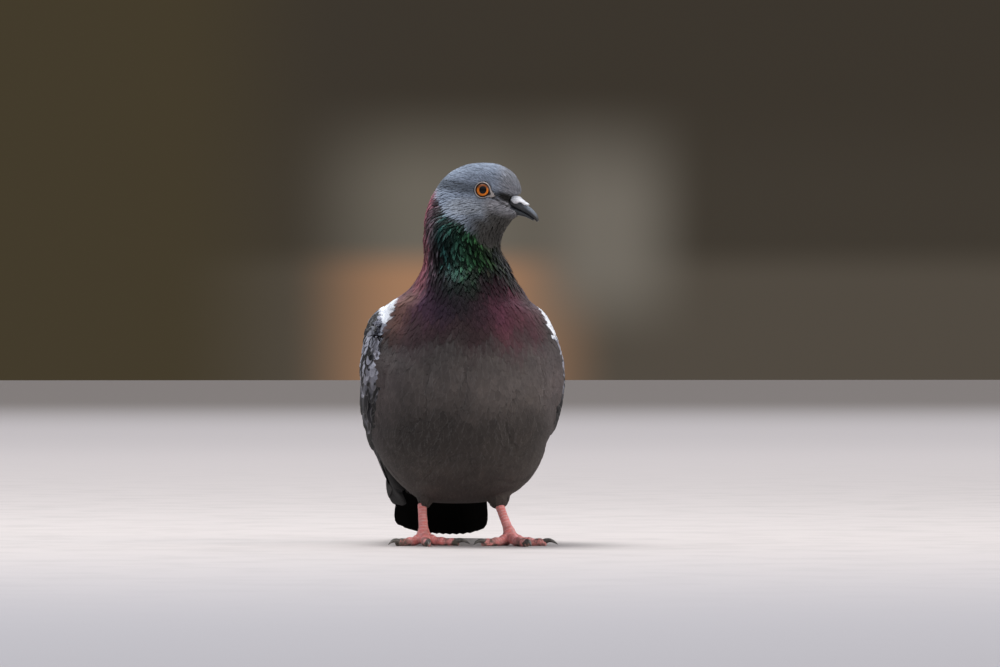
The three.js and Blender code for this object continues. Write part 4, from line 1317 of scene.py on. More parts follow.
def face_share(points):
    """How much smaller feathers are near the bill and the eyes."""
    p, q, z = head_axes(points)
    bill = np.linalg.norm(points - head_point(17.0, 0, 181.0), axis=1)
    eye_gap = from_eye(p, z)[0] + 20 * (np.abs(q) < 5)
    return np.clip(np.minimum(0.42 + bill / 26, 0.55 + (eye_gap - 4.5) / 14), 0.45, 1)


def bare_places(points):
    """True where no feathers grow: round the eyes, and where the bill and the cere are."""
    p, q, z = head_axes(points)
    out, turn = from_eye(p, z)
    ring = (out < ring_edge(turn) - 0.15) & (np.abs(q) > 6)
    mouth = np.interp(p, [10.4, 13.9, 17.6, 21], [181.5, 179.4, 177.8, 176.3])
    bill = (np.abs(q) < 6) & ((p > 17.4) | (p > 13.4) & (z > mouth)) & (z < 183.4) & (z > 168)
    along, across = (p - 18.2) * 0.906 - (z - 182.6) * 0.423, (p - 18.2) * 0.423 + (z - 182.6) * 0.906
    cere = (along / 4.5) ** 2 + (across / 3.0) ** 2 < 1
    return ring | bill | cere


def on_back(points):
    return (points[:, 1] > 8) & (points[:, 2] > 60) | (points[:, 1] > 70)


def patch_share(name, points):
    """How white the wing is at places, from its patch at the shoulder."""
    low, out, back = PATCH[name]
    x, y, z = np.moveaxis(points + 0.5 * ripple(points, 2.0, 61)[..., None], -1, 0)
    return fade(z, low - 0.7, low + 0.7) * fade(np.abs(x), out + 0.7, out - 0.7) * fade(y, back + 2, back - 2)


def coat_colour(where, angle):
    """Colour, gloss and raggedness of the small feathers at these places."""
    x, z = where[:, 0], where[:, 2]
    colour, shine = plumage(where, angle)
    # Near-black and bright feathers at random on the glossy neck, as painted glints of its gloss.
    painted_glint = rng.uniform(0, 1, len(where))
    degrees = (np.degrees(angle) + 270) % 360 - 180
    ruff = fade(z, 130, 142) * fade(shine, 0.2, 0.7) * (1 - 0.7 * fade(-degrees, 52, 74))
    spread = np.interp(z, [120, 135, 170, 180], [0.04, 0.07, 0.07, 0.12])
    even = 1 + spread * rng.normal(0, 1, len(where)) + 0.15 * shine * (painted_glint - 0.5)
    tone = mix(even, 0.14 + 2.2 * painted_glint ** 3, ruff)
    colour = colour * np.clip(tone, 0.1, np.interp(z, [138, 154], [1.0, 2.2]))[:, None]
    past = fade(breast_reach(where), -0.7, -1.7)
    outer = past * fade(np.abs(x), 40, 43) * fade(np.abs(z - 113), 12, 9)
    colour = mix(colour, SHOULDER_GREY, outer[:, None])
    for name, wing in WINGS.items():
        white = past * patch_share(name, where) * (np.sign(x) == wing.side)
        colour = mix(colour, PATCH_WHITE, white[:, None])
        shine = shine * (1 - white)
    return colour, shine, ruff


def body_coat():
    """All the small feathers of head, neck, breast, belly, thighs, back and rump."""
    middles = FORM.middles
    hidden = (FORM.free[FORM.faces].mean(1) > 0.5) | bare_places(middles)
    small = np.where(middles[:, 2] > FACE_FROM, face_share(middles), 1)
    head = middles[:, 2] > HEAD_FIRST
    spacing = by_height(SPACINGS, middles) * small
    spacing = np.where(on_back(middles) & ~head, spacing * BACK_WIDER, spacing)
    coats = {name: Coat() for name in BODY_COATS}
    for zone in (head, ~head):
        faces, shares = scatter(FORM, zone & ~hidden, spacing, 6.5)
        roots = FORM.at(FORM.points, faces, shares)
        clear = ~bare_places(roots)
        faces, shares, roots = faces[clear], shares[clear], roots[clear]
        count, z = len(roots), roots[:, 2]
        size = np.where(z > FACE_FROM, face_share(roots), 1) * rng.uniform(0.88, 1.14, count)
        length, half = by_height(LENGTHS, roots) * size, by_height(HALVES, roots) * size
        depth = by_height(DEPTHS, roots) * np.minimum(size, 1)
        wild = np.interp(z, [90, 120, 160, 176, 200], [0.08, 0.10, 0.20, 0.12, 0.08])
        turn = rng.normal(0, 1, count) * wild + 0.10 * ripple(roots, 7, 3)
        shafts = lay_shafts(FORM, FORM.flow, faces, shares, length, turn, 4)
        station = FORM.at(FORM.station, faces, shares)
        colour, shine, ruff = coat_colour(shafts[0][:, 3], form_angle(station))
        blunt = np.interp(z, [104, 122], [0.85, 0.6]) * (1 - 0.6 * ruff)
        on_thigh = FORM.at(FORM.thigh[:, None], faces, shares) > 0.5
        place = np.where(on_thigh, thigh_place(roots), unwrap_place(station))
        z, behind = z + 2.5 * ripple(roots, 6, 21), on_back(roots)
        masks = {
            "head": z > HEAD_COAT_FROM,
            "neck": (z <= HEAD_COAT_FROM) & (z > NECK_COAT_FROM),
            "back": (z <= NECK_COAT_FROM) & behind,
            "breast": (z <= NECK_COAT_FROM) & ~behind & (z > BREAST_COAT_FROM),
            "belly": (z <= BREAST_COAT_FROM) & ~behind,
        }
        for name, mask in masks.items():
            *_, template, crisp = BODY_COATS[name]
            lift = mix(0.05, 0.75, ruff) * rng.uniform(0, 1, count)
            if mask.any():
                each = (x[mask] for x in (length, half, depth, blunt, colour, shine, place))
                coats[name].add(template, [x[mask] for x in shafts], *each, lift=lift[mask],
                                crisp=mix(crisp, 0.7, ruff)[mask])
    for name, (material, slot, *_) in BODY_COATS.items():
        coats[name].build(f"{name}_coat", material, slot)


body_coat()

# ---------- wings ----------

COVERT_GREY = srgb(140, 141, 154)
COVERT_PALE = srgb(170, 172, 185)
SHOULDER_DARK = srgb(20, 20, 23)
SLATE = srgb(26, 26, 29)
FLIGHT_BLACK = srgb(13, 13, 15)
TERTIAL_GREY = srgb(84, 86, 96)
TAIL_SLATE = srgb(56, 58, 64)
# The tail's under side, painted near black as shade.
TAIL_UNDER_SHADE = srgb(4, 4, 4)
STREAK_STRETCH = 0.22
SHOULDER_OUT = ([104, 112, 118, 124], [54.5, 51.2, 47.8, 43.2])  # where coverts turn dark, by height

# Rows of coverts: (station, length, half width, low v, high v, sink, drift)
LONG_COVERTS = [(2.9, 19, 4.6, 0.03, 0.93, 0.3, 0.0), (3.3, 27, 5.2, 0.05, 0.88, 0.6, 0.01)]
SCAPULARS = [(t, 15 + 2.2 * t, 4.2 + 0.35 * t, 0.84, 1.06, -0.6, -0.02) for t in np.arange(0.9, 4.6, 0.42)]
ALULA = [(2.5, 17, 3.6, 0.02, 0.22, 1.2, 0.0), (3.1, 22, 4.0, 0.02, 0.26, 1.6, 0.0),
         (3.9, 24, 4.2, 0.02, 0.28, 2.0, 0.0)]

# Flight feathers, numbered from the innermost. Curves go by number, sink is that of the first and what each
# adds, and the first colour goes over into the second between two numbers
FLIGHT_SETS = {
    "secondary": {
        "nodes": "secondaries", "count": 13, "steps": 14, "depth": 1.6, "blunt": 0.92, "tilt": -0.7,
        "wave": 0.004, "sink": (0.4, 0.12), "colours": (TERTIAL_GREY, SLATE), "between": (1, 7),
        "curves": {
            "v": ([0, 12], [0.93, 0.22]), "t": ([0, 12], [3.6, 4.1]), "half": ([0, 12], [7.6, 8.6]),
            "length": ([0, 3, 7, 12], [62, 78, 84, 76]), "drift": ([0, 6, 12], [-0.08, -0.02, 0.10]),
        },
    },
    "primary": {
        "nodes": "primaries", "count": 10, "steps": 16, "depth": 1.2, "blunt": 0.75, "tilt": -0.5,
        "wave": 0.003, "sink": (1.2, 0.16), "colours": (SLATE, FLIGHT_BLACK), "between": (0, 4),
        "curves": {
            "v": ([0, 9], [0.34, 0.10]), "t": ([0, 9], [4.5, 4.2]), "half": ([0, 9], [8.0, 6.4]),
            "length": ([0, 4, 7, 9], [78, 94, 106, 112]), "drift": ([0, 9], [0.18, 0.36]),
        },
    },
}


def atlas(count):
    """Centres and sides of equal cells, one for each large feather, on the unwrap of a piece."""
    across = int(math.ceil(math.sqrt(count * 3)))
    down = int(math.ceil(count / across))
    k = np.arange(count)
    places = np.stack([(k % across + 0.5) / across, (k // across + 0.5) / down], -1)
    return places, (0.9 / across, 0.94 / down)


def large_coat(name, material, slot, template, shafts, length, half, depth, blunt, colour, nodes=(), **more):
    """One piece of large feathers, each with its own cell on the unwrap."""
    coat = Coat()
    places, cell = atlas(len(shafts[0]))
    coat.add(template, shafts, length, half, depth, blunt, colour, 0.0, places, cell, **more)
    coat.build(name, material, slot, nodes)


def lay_rows(wing, rows):
    """Shafts, lengths and half widths of rows of coverts across a wing."""
    layers = []
    for n, (t, length, half, low, high, sink, drift) in enumerate(rows):
        count = max(3, int(round(wing.arc(t, low, high) / (half * 1.22))))
        v = (np.arange(count) + 0.5 * (n % 2) + 0.25) / count * (high - low) + low
        layers.append(np.stack(np.broadcast_arrays(t, v, length, half, sink, drift), -1))
    t, v, length, half, sink, drift = np.concatenate(layers).T
    count = len(t)
    t = np.clip(t + rng.normal(0, 0.035, count), 0.02, 9)
    v = v + rng.normal(0, 0.006, count)
    length = length * rng.uniform(0.92, 1.08, count)
    shafts = wing.shafts(t, v, length, drift + rng.normal(0, 0.012, count), 8, sink)
    return shafts, length, half


def covert_paint(name, base, mark):
    """The colour of coverts as a function of place: dark streaks along the wing, and the white patch."""
    def colour(at):
        x, y, z = np.moveaxis(at, -1, 0)
        lie = np.stack([x, 0.69 * y + 0.72 * z, STREAK_STRETCH * (0.72 * y - 0.69 * z)], -1)
        streak = fade(ripple(lie, 2.1, 87), -0.05, 0.18) * mark[:, None]
        streak = streak * (1 - 0.85 * fade(breast_reach(at), -6, -2) * fade(z, 98, 106))
        painted = mix(base[:, None], SLATE * 0.6, streak[..., None]) * (1 - 0.7 * fade(z, 80, 66))[..., None]
        return mix(painted, PATCH_WHITE, patch_share(name, at)[..., None])

    return colour


def wing_coverts(name, wing):
    """Small coverts all over the shoulder, then two rows of long ones."""
    on_wing = FORM.free & (np.sign(FORM.points[:, 0]) == wing.side) & (FORM.wing < 3.15)
    stops = [0, 1.2, 3]
    spacing = np.interp(FORM.wing[FORM.faces].mean(1), stops, [1.7, 2.2, 3.4])
    faces, shares = scatter(FORM, on_wing[FORM.faces].all(1), spacing, 7)
    t = FORM.at(FORM.wing[:, None], faces, shares)[:, 0]
    length = np.interp(t, stops, [6.5, 8.5, 14.0]) * rng.uniform(0.9, 1.1, len(t))
    half = np.interp(t, stops, [1.7, 2.3, 3.9]) * rng.uniform(0.9, 1.1, len(t))
    turn = 0.12 * rng.normal(0, 1, len(t))
    spine, normals, sides = lay_shafts(FORM, FORM.wing_flow, faces, shares, length, turn, 8)
    covered = 0.9 * fade(breast_reach(spine), -1, 3)
    small = spine - normals * covered[..., None], normals, sides
    large, long, wide = lay_rows(wing, LONG_COVERTS)
    shafts = [np.concatenate(pair) for pair in zip(small, large)]
    length, half = np.concatenate([length, long]), np.concatenate([half, wide])
    chance = rng.uniform(0, 1, len(length))
    x, _, z = shafts[0][:, 6].T
    dark = fade(z, 103, 110) * fade(np.abs(x) - np.interp(z, *SHOULDER_OUT), -1, 2) * (chance < 0.88)
    base = mix(mix(COVERT_GREY, COVERT_PALE, chance[:, None]), SHOULDER_DARK, dark[:, None])
    base = mix(base, SLATE * 0.6, (fade(z, 96, 74) * (chance < 0.94))[:, None])
    colour = covert_paint(name, base, np.where(chance < 0.15, 0.3, 1.0))
    depth = np.interp(length, [6, 10, 20, 30], [0.8, 1.3, 2.0, 2.6])
    large_coat(f"wing_{name}_covert_coat", COVERT_PLUMAGE, "wing_feathers", COVERT, shafts, length, half,
               depth, 0.88, colour, camber=0.03, lift=0.15)


def kept_inside(points, depth):
    """The points, moved in where they lie less than depth under the form, and the form's normals there."""
    flat = points.reshape(-1, 3)
    places, faces, weights = FORM.nearest(flat)
    normals = unit(FORM.at(FORM.normals, faces, weights))
    lack = depth - ((places - flat) * normals).sum(1)
    moved = np.where(lack[:, None] > 0, places - normals * depth, flat)
    return moved.reshape(points.shape), normals.reshape(points.shape)


def scapular_coat(name, wing):
    """Longer soft feathers that close the gap between the wing and the back."""
    shafts, length, half = lay_rows(wing, SCAPULARS)
    spine, normals = kept_inside(shafts[0], -0.5)
    shafts = spine, normals, unit(np.cross(normals, np.gradient(spine, axis=1)))
    base = mix(TERTIAL_GREY, COVERT_GREY, rng.uniform(0, 1, (len(length), 1)))
    colour = covert_paint(name, base, np.full(len(length), 0.9))
    large_coat(f"wing_{name}_scapulars", COVERT_PLUMAGE, "wing_feathers", COVERT, shafts, length, half, 2.6,
               0.85, colour, camber=0.03, lift=0.2)


def flight_coats(name, wing):
    """Primary coverts and the alula, then the secondaries with the tertials, then the primaries."""
    shafts, length, half = lay_rows(wing, ALULA)
    tone = mix(SLATE, TERTIAL_GREY, rng.uniform(0, 1, (len(length), 1)) * 0.4)
    large_coat(f"wing_{name}_alula", FLIGHT_PLUMAGE, "flight_feathers", COVERT, shafts, length, half,
               1.6, 0.8, tone, camber=0.02)
    for kind, kit in FLIGHT_SETS.items():
        k = np.arange(kit["count"])
        curve = {key: np.interp(k, *values) for key, values in kit["curves"].items()}
        length, sink = curve["length"], kit["sink"][0] + kit["sink"][1] * k
        shafts = wing.shafts(curve["t"], curve["v"], length, curve["drift"], kit["steps"], sink)
        tone = mix(*kit["colours"], fade(k, *kit["between"])[:, None])
        large_coat(f"wing_{name}_{kind}_coat", FLIGHT_PLUMAGE, "flight_feathers", FLIGHT, shafts, length,
                   curve["half"], kit["depth"], kit["blunt"], tone, [f"wing_{name}_{kit['nodes']}"],
                   camber=0.012, tilt=kit["tilt"] * wing.side, wave=kit["wave"])


def wing_base(name, wing):
    """The arm and down under the coverts, as a closed slab inside the wing."""
    t, v = grid(np.linspace(0.35, 8.4, 40), np.linspace(0.06, 0.95, 26))
    rim = np.clip((np.abs(2 * v - 1) - 0.6) / 0.4, 0, 1) ** 2
    tip = fade(t, 7.0, 8.6)
    outer = wing.point(t, v, 2.2 + 1.0 * fade(t, 3.5, 5) + 1.2 * tip)
    inner = wing.point(t, v, np.maximum(smooth(wing.thick, t) * (1 - 0.5 * rim) - 0.6, 3.4 + 1.4 * tip))
    points, faces = slab(kept_inside(outer, 2.0)[0], kept_inside(inner, 3.2)[0], wing.side)
    tone = mix(COVERT_GREY * 0.35, FLIGHT_BLACK, fade(t, 2.5, 4.5)[..., None])
    paint = np.concatenate([tone, tone], 1).reshape(-1, 3)
    paint = np.concatenate([paint, paint[:1], paint[-1:]])
    facts = {"plumage": np.concatenate([paint, np.zeros((len(paint), 1))], 1)}
    piece(f"wing_{name}_base", points, faces, SKIN_DOWN, "wing_feathers", [f"wing_{name}_coverts"], facts)


for wing_name, folded_wing in WINGS.items():
    wing_base(wing_name, folded_wing)
    wing_coverts(wing_name, folded_wing)
    scapular_coat(wing_name, folded_wing)
    flight_coats(wing_name, folded_wing)

# ---------- tail ----------

TAIL_SPREAD = 0.86  # share of the half width that the outermost shafts reach
# The coverts below carry the vent's colour with its painted shade.
TAIL_COVERTS = ((2.9, 0.12, 0.46, RUMP), (2.3, 0.22, 0.56, RUMP * 0.8),  # above, from, to, colour
                (-3.4, 0.12, 0.5, VENT_AND_SHADE), (-2.8, 0.22, 0.64, VENT_AND_SHADE * 0.7))


def tail_place(t, side, above):
    """A point of the tail: t from root to tip, side from -1 (right) to 1, above its middle in millimetres."""
    run = TAIL_TIP - TAIL_ROOT
    way = unit(run)
    half = mix(TAIL_HALF[0], TAIL_HALF[1], np.clip(t, 0, 1) ** 0.8)
    length = np.linalg.norm(run) - TAIL_SHORTER * side ** 4 - 3 * side ** 2
    at = TAIL_ROOT + (length * t)[..., None] * way
    at[..., 0] = TAIL_ROOT[0] + run[0] * t ** 2 + side * half
    lower = (TAIL_CAMBER * side ** 2 + TAIL_ROLL * side) * t
    return at + (above - lower)[..., None] * unit(np.cross([1.0, 0, 0], way))


def tail_shafts(start, stop, side, above):
    """Shafts along the tail; those under its middle face down."""
    start, stop, side, above = (x[:, None] for x in np.broadcast_arrays(start, stop, side, above))
    spine = tail_place(np.linspace(0, 1, 14) * (stop - start) + start, side, above)
    way = unit(np.gradient(spine, axis=1))
    normal = unit(np.cross([1.0, 0, 0], way)) * np.sign(above)[..., None]
    return spine, normal, np.cross(normal, way)


def tail_coat():
    """Twelve tail feathers, and their under sides as a layer of their own, painted near black as the shade
    beneath the tail.
    """
    coat = Coat()
    side = (np.arange(TAIL_FEATHERS) - (TAIL_FEATHERS - 1) / 2) / (TAIL_FEATHERS / 2) * TAIL_SPREAD
    places, cell = atlas(TAIL_FEATHERS * 2)
    for above, tone, where in ((0.8, TAIL_SLATE, places[:TAIL_FEATHERS]),
                               (-0.8, TAIL_UNDER_SHADE, places[TAIL_FEATHERS:])):
        shafts = tail_shafts(0.1, 0.995, side, above * (1 - 0.5 * np.abs(side)))
        length = np.linalg.norm(np.diff(shafts[0], axis=1), axis=2).sum(1)
        tones = np.broadcast_to(tone, (TAIL_FEATHERS, 3))
        coat.add(FLIGHT, shafts, length, 7.0, 0.0, 1.6, tones, 0.0, where, cell, camber=0.004,
                 tilt=0.2 * np.sign(side) * (above > 0), wave=0.003)
    coat.build("tail_coat", TAIL_PLUMAGE, "tail_feathers", ["tail"])


def tail_coverts():
    """Feathers that cover the root of the tail above and below."""
    side = np.linspace(-TAIL_SPREAD, TAIL_SPREAD, 11)
    layers = []
    for above, start, stop, tone in TAIL_COVERTS:
        jitter = rng.uniform(-0.03, 0.03, len(side))
        shafts = tail_shafts(start + jitter, stop + jitter, side, above * (1 - 0.35 * side ** 2))
        length = np.full(len(side), (stop - start) * 108)
        layers.append((*shafts, length, tone * rng.uniform(0.85, 1.15, (len(side), 1))))
    *shafts, length, tone = (np.concatenate(parts) for parts in zip(*layers))
    large_coat("tail_covert_coat", COVERT_PLUMAGE, "tail_feathers", COVERT, shafts, length, 4.2, 1.8, 0.8,
               tone, camber=0.03)


tail_coat()
tail_coverts()

# ---------- head: eyes, lids, bill, cere ----------

PUPIL_AHEAD = 0.35
CORNEA_R = 3.4
CORNEA_BULGE = 0.22
LID_INNER_R = 3.62
LID_LIP = 0.38  # how far the inner rim stands out
LID_THICK = 0.9
LID_UNDER = 0.35  # how far the ring goes on under the feathers


def build_eye(name, side):
    """The eyeball's outer cap. Its colours go by distance from the pupil, direction and height."""
    lean, turn = grid(np.linspace(0.0, 1.12, 40), circle(64)[outward(side)])
    out = EYE_BALL_R * np.sin(lean)
    ahead, above = out * np.cos(turn), out * np.sin(turn)
    bulge = CORNEA_BULGE * np.clip(1 - (out / CORNEA_R) ** 2, 0, 1)
    far = EYE_SIDE + EYE_BALL_R * np.cos(lean) + bulge
    points, faces = closed_tube(head_point(EYE_AHEAD + ahead, far * side, EYE_HIGH + above))
    seen = np.hypot(ahead - PUPIL_AHEAD * fade(out, 3.3, 1.5), above)
    facts = np.stack([seen, turn, above], -1).reshape(-1, 3)
    facts = {"iris": np.concatenate([facts, [[0, 0, 0], [6, 0, 0]]])}
    piece(f"eye_{name}_ball", points, faces[:, ::-1], EYE_IRIS, "eye", [f"eye_{name}"], facts)


def build_lids(name, side):
    """The bare ring round the eye: a thick inner rim on the eyeball, then a flat ring out to the feathers."""
    share, turn = grid(np.linspace(0, 1, 22), circle(160))
    out = LID_INNER_R + (ring_edge(turn) + LID_UNDER - LID_INNER_R) * share ** 1.25
    out[0] = LID_INNER_R - 0.05
    p, z = EYE_AHEAD + out * np.cos(turn), EYE_HIGH + out * np.sin(turn)
    way = (LEFT * -side).tolist()
    starts = head_point(p, 30.0 * side, z).reshape(-1, 3).tolist()
    cast = [FORM.tree.ray_cast(start, way)[0] for start in starts]
    surface = [30 * side if hit is None else (np.array(hit[:]) - EYE_CENTRE) @ LEFT for hit in cast]
    surface = np.abs(np.reshape(surface, out.shape))
    ball = EYE_SIDE + np.sqrt(np.maximum((EYE_BALL_R + 0.12) ** 2 - out ** 2, 0))
    wall = fade(out, LID_INNER_R, LID_INNER_R + 0.75)
    lip = LID_LIP * bell(out - LID_INNER_R, 0.3, 0.26)
    warts = 0.05 * np.sin(turn * 26 + out * 5) * fade(out - LID_INNER_R, 0.2, 0.7)
    far = mix(ball, surface + 0.12 - 0.55 * fade(share, 0.75, 1.0), wall) + lip + warts
    far[0] = ball[0] - 0.3
    sheets = [head_point(p, far * side, z), head_point(p, (far - LID_THICK) * side, z)[::-1]]
    sheet = np.concatenate(sheets)[:, outward(side)]
    rim = fade(np.concatenate([out, out[::-1]]), LID_INNER_R + 0.35, LID_INNER_R + 0.15)
    facts = {"rim": np.repeat(rim.reshape(-1, 1), 3, axis=1)}
    faces = grid_faces(*sheet.shape[:2], True)
    piece(f"eye_{name}_lids", sheet.reshape(-1, 3), faces, LID_SKIN, "cere", facts=facts)


def build_bill():
    """Both halves of the bill, with a pale chalky cover on their upper faces that is partly a painted
    highlight.
    """
    rows = 44
    share, turn = grid(np.linspace(0, 1, rows), circle(40))
    cos, sin = np.cos(turn), np.sin(turn)
    upside = np.clip(sin, 0, 1)
    wide = np.sign(cos) * np.abs(cos) ** 0.8
    # The upper half has a narrow rounded ridge, sides that flare to the cutting edge, and a groove over the
    # nostril; the edges of the lower one close inside them
    groove = bell(share, 0.30, 0.14) * bell(sin, 0.15, 0.3)
    # The last value of each half is its pale cover on the upper faces: partly a chalky bloom, partly a
    # painted highlight where the top catches the light.
    halves = {
        "upper": (UPPER_BILL, wide * (1 - 0.22 * upside) * (1 - 0.2 * groove), np.where(sin < 0, 0.55, 1.0),
                  0.0, fade(share, 0.95, 0.65) * fade(sin, 0.0, 0.55)),
        "lower": (LOWER_BILL, wide, np.where(sin > 0, 0.5, 0.9), 0.9, 0.2 * fade(sin, 0, 0.7)),
    }
    for name, (stations, out, power, lift, cover_share) in halves.items():
        rings = bill_rings(stations, rows, out, np.sign(sin) * np.abs(sin) ** power)
        points, faces = closed_tube(rings + (lift * upside)[..., None] * UP)
        facts = {"chalk_highlight": np.repeat(np.append(cover_share, [0, 0])[:, None], 3, axis=1)}
        piece(f"bill_{name}_horn", points, faces[:, ::-1], BILL_HORN, "bill", [f"bill_{name}"], facts)


def build_cere():
    """Two chalky lobes side by side over the nostrils, hollowed beneath and tapering on to the bill."""
    rear, front = np.array(CERE_REAR), np.array(CERE_FRONT)
    way = unit(front - rear)
    along = way[0] * FORWARD + way[1] * UP
    up = np.cross(along, LEFT)
    up = up * np.sign(up[2])
    lean, turn = grid(np.linspace(0.02, math.pi - 0.02, 30), circle(28))
    x = -np.cos(lean) * CERE_LENGTH
    width = np.sin(lean) ** 0.6 * (1 - 0.55 * fade(x, -1.5, CERE_LENGTH))
    y = np.cos(turn) * width * CERE_SWELL
    lift = np.sin(turn) * width * CERE_SWELL * mix(1.02, 0.8, fade(x, -2.5, 1.5))
    hollow = 0.95 * bell(x, 0.6, 1.7) * np.clip(-np.sin(turn), 0, 1)
    lift = lift + hollow * CERE_SWELL * 0.8 + 0.35 * fade(x, 1.0, -2.0)
    lobes = []
    for side in (-1, 1):
        middle = head_point((rear[0] + front[0]) / 2, side * CERE_SIDE, (rear[1] + front[1]) / 2 - 0.45)
        lobes.append(closed_tube(middle + x[..., None] * along + y[..., None] * LEFT + lift[..., None] * up))
    points, faces = fused(lobes, 0.22, 4)
    points = points + vertex_normals(points, faces) * (0.06 * ripple(points, 1.1, 77))[:, None]
    piece("cere_lobes", points, faces, CERE_CHALK, "cere", ["cere"])


for eye_name, eye_side in (("right", -1), ("left", 1)):
    build_eye(eye_name, eye_side)
    build_lids(eye_name, eye_side)
build_bill()
build_cere()

# ---------- legs and feet ----------

SCUTE_PITCH = 1.75
TOE_PITCH = 1.5
TOE_KNOTS = np.array([0, 0.18, 0.34, 0.5, 0.66, 0.82, 1.0])  # where a toe is thin and thick by turns


def bent_tube(path, radii, columns):
    """Rings of a round tube along points that lie close together."""
    along = unit(np.gradient(path, axis=0))
    aside = np.cross(along, UP)
    aside[np.linalg.norm(aside, axis=1) < 0.15] = (1.0, 0, 0)  # where the path is steep
    aside = unit(aside)
    turn = circle(columns)[None, :, None]
    ring = np.cos(turn) * aside[:, None] + np.sin(turn) * np.cross(aside, along)[:, None]
    return path[:, None] + ring * radii[:, None, None]


def toe_line(leg, toe, far):
    """Points on the floor at distances from the ball of the foot along a toe."""
    turn = math.radians(leg[3][toe])
    return np.array(leg[2], float) * (1, 1, 0) + far[:, None] * (math.sin(turn), -math.cos(turn), 0.0)


def toe_path(leg, toe):
    """Points and radii along a toe, from the ball of the foot to its end."""
    length, root, end, _ = TOES[toe]
    f = np.linspace(0, 1, 60)
    knots = np.array([mix(root, end, s) * (1.07 if i % 2 else 0.95) * (0.8 if s == 1 else 1)
                      for i, s in enumerate(TOE_KNOTS)])
    radii = smooth(knots, np.interp(f, TOE_KNOTS, np.arange(len(knots))))
    path = toe_line(leg, toe, TOE_START * 0.2 + f * (length - TOE_START * 0.2))
    path[:, 2] = radii - TOE_SINK + np.maximum(0, 1 - f / 0.5) ** 2 * 2.2
    return path, radii


def build_foot(name, leg):
    """Shank and toes fused into one skin, with raised plates down the shank's front and the toes' tops."""
    ball = np.array(leg[2], float)
    share = np.linspace(0, 1, 50)
    top = np.array(leg[1], float) + (0, 0, 2.0)
    shank = top + share[:, None] * (ball - top)
    radii = SHANK_R * np.interp(share, [0, 0.35, 0.75, 0.92, 1], [1.0, 0.93, 0.98, 1.25, 1.3])
    routes = [(shank, radii, SCUTE_PITCH, unit(np.array([0.0, -1.0, 0.15])))]
    routes += [(*toe_path(leg, toe), TOE_PITCH, UP) for toe in TOES]
    lean = np.linspace(0.05, math.pi - 0.05, 14)
    knob = ball + (0, 0, -1.4) - np.cos(lean)[:, None] * np.array([0, 0, 3.9])
    parts = [closed_tube(bent_tube(shank, radii, 24)),
             closed_tube(bent_tube(knob, 4.0 * np.sin(lean) ** 0.8, 24))]
    parts += [closed_tube(bent_tube(path, radius, 20)) for path, radius, *_ in routes[1:]]
    points, faces = fused(parts, 0.36, 5)
    normals = vertex_normals(points, faces)
    # Each point goes with the nearest route; its plate number runs with the distance along that route
    nearest = np.full(len(points), 1e9)
    plate, mask, far, number = np.zeros((4, len(points)))
    for n, (path, radius, pitch, front) in enumerate(routes):
        gap = np.linalg.norm(points[:, None] - path[None], axis=2) - radius[None]
        best, closest = gap.argmin(1), gap.min(1)
        mine = closest < nearest
        run = np.concatenate([[0], np.cumsum(np.linalg.norm(np.diff(path, axis=0), axis=1))])
        facing = np.clip(normals @ front, -1, 1)
        plate = np.where(mine, run[best] / pitch + 0.12 * (1 - facing), plate)
        mask = np.where(mine, fade(facing, 0.15, 0.6), mask)
        far = np.where(mine, run[best] / run[-1], far)
        number = np.where(mine, n, number)
        nearest = np.minimum(nearest, closest)
    plate = plate + number * 0.37
    saw = plate % 1.0
    raised = 0.20 * (fade(saw, 0.0, 0.15) * (1 - fade(saw, 0.72, 1.0))) * mask
    pads = 0.08 * ripple(points, 1.3, 15) * (1 - mask)
    points = points + normals * (raised - 0.1 + pads)[:, None]
    points[:, 2] = np.maximum(points[:, 2], 0.0)
    dirt = np.where(number > 0, 0.25 + 0.9 * fade(far, 0.35, 0.95), 0.12 + 0.2 * fade(far, 0.7, 1))
    dirt = dirt + 0.6 * fade(points[:, 2], 1.6, 0.3)
    facts = {"scute": np.stack([plate, mask, np.clip(dirt, 0, 1)], -1)}
    nodes = [f"shank_{name}"] + [f"toe_{name}_{toe}" for toe in TOES]
    piece(f"leg_{name}_skin", points, faces, LEG_SCALES, "leg_skin", nodes, facts)


def build_claws(name, leg):
    f = np.linspace(0, 1, 26)
    radii = np.interp(f, [0, 0.15, 0.5, 0.85, 1], [1.25, 1.4, 1.05, 0.5, 0.16])
    height = 2.1 + 1.25 * np.sin(f * math.pi * 0.75) - 2.35 * f ** 2 + 0.2
    parts = []
    for toe, (length, _, _, claw) in TOES.items():
        path = toe_line(leg, toe, length - 1.6 + f * (claw + 1.4))
        path[:, 2] = np.maximum(height, 0.42)
        rings = bent_tube(path, radii, 16)
        rings[..., 2] = np.maximum(rings[..., 2], 0.02)
        parts.append(closed_tube(rings))
    piece(f"claws_{name}", *joined(parts), CLAW_HORN, "claw", [f"claw_{name}_{toe}" for toe in TOES])


for leg_name, one_leg in LEGS.items():
    build_foot(leg_name, one_leg)
    build_claws(leg_name, one_leg)

# ---------- floor, light and camera ----------

CAMERA_FAR = 4430.0  # from the bird's axis to the lens
CAMERA_TURN = math.radians(5.5)
CAMERA_ASIDE = 20.2
CAMERA_HEIGHT = 112.8
LENS = 299.8
FLOOR_HALF = 15.6
SKY_STRENGTH = 0.92
LAMPS = {  # place, aim, size, power, colour
    "key": ((-0.5, 0.15, 2.5), (0, 0, 0.12), 1.6, 80, (0.97, 0.99, 1.0)),
    "warm_fill": ((2.3, -1.5, 1.0), (0, 0, 0.1), 1.6, 30, (1.0, 0.9, 0.8)),
}


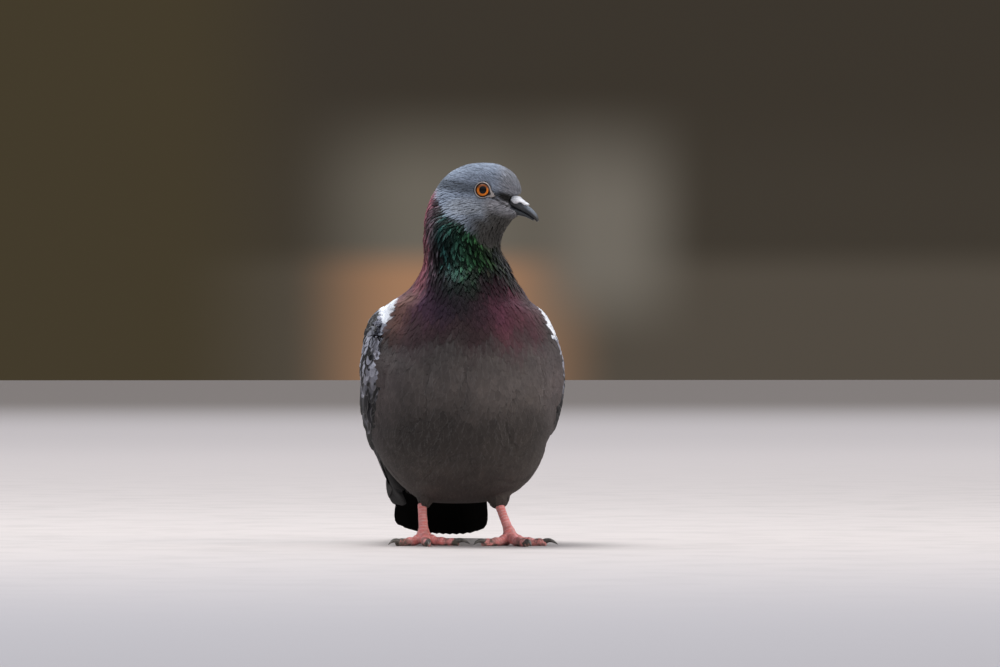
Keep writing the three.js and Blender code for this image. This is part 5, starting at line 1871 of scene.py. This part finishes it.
def build_floor():
    mesh = bpy.data.meshes.new("floor")
    corners = [(x * FLOOR_HALF, y * FLOOR_HALF, 0) for x, y in ((-1, -1), (1, -1), (1, 1), (-1, 1))]
    mesh.from_pydata(corners, [], [(0, 1, 2, 3)])
    mesh.materials.append(FLOOR_PALE)
    floor = new_object("floor", mesh)


def aim(thing, place, way):
    """Puts a lamp or camera in its place and turns its own -Z along a direction, upright."""
    x, y, z = way
    thing.location = place
    thing.rotation_euler = (math.atan2(math.hypot(x, y), -z), 0.0, -math.atan2(x, y))


def build_world():
    """A pale sky overhead, and dim warm surroundings, out of focus, at the level of the eye."""
    world = bpy.data.worlds.new("outdoors")
    world.use_nodes = True
    tree = world.node_tree
    across, _, high = put(tree, "TexCoord", key="Generated").split()
    off = abs(across - 0.09)
    near = blend(off.ramp(0.0205, 0.004), srgb(84, 77, 68), srgb(166, 126, 96))
    upper = blend(off.ramp(0.021, 0.003), srgb(66, 60, 52), srgb(110, 104, 94))
    near = blend(high.ramp(0.006, 0.0115), near, upper)
    near = blend(high.ramp(0.016, 0.03), near, srgb(62, 56, 48))
    patch = abs(across - 0.1085).ramp(0.0125, 0.001) * high.ramp(0.03, 0.014) * high.ramp(-0.003, 0.009)
    near = blend(patch, near, srgb(116, 110, 101))
    near = blend(across.ramp(0.078, 0.055), near, srgb(70, 62, 46))
    sky = put(tree, "VectorMath", {0: (0.93, 0.97, 1.05), "Scale": across * 0.32 + 1.0}, operation="SCALE")
    background = tree.nodes["Background"].inputs
    feed(background["Color"], blend(high.ramp(0.07, 0.42), near, sky))
    feed(background["Strength"], SKY_STRENGTH)
    bpy.context.scene.world = world


def build_light():
    for name, (place, target, size, power, colour) in LAMPS.items():
        lamp = bpy.data.lights.new(name, "AREA")
        lamp.shape = "DISK"
        lamp.size = size
        lamp.energy = power
        lamp.color = colour
        aim(new_object(name, lamp), place, np.array(target) - np.array(place))


def build_camera():
    way = np.array([math.sin(CAMERA_TURN), math.cos(CAMERA_TURN), 0.0])
    right = np.array([math.cos(CAMERA_TURN), -math.sin(CAMERA_TURN), 0.0])
    lens = bpy.data.cameras.new("camera")
    lens.lens = LENS
    lens.sensor_width = 36.0
    lens.clip_end = 100.0
    camera = new_object("camera", lens)
    aim(camera, bird_space(-CAMERA_FAR * way + CAMERA_ASIDE * right + (0, 0, CAMERA_HEIGHT)), way)
    bpy.context.scene.camera = camera


build_floor()
build_world()
build_light()
build_camera()
bpy.context.scene.view_settings.view_transform = "Standard"
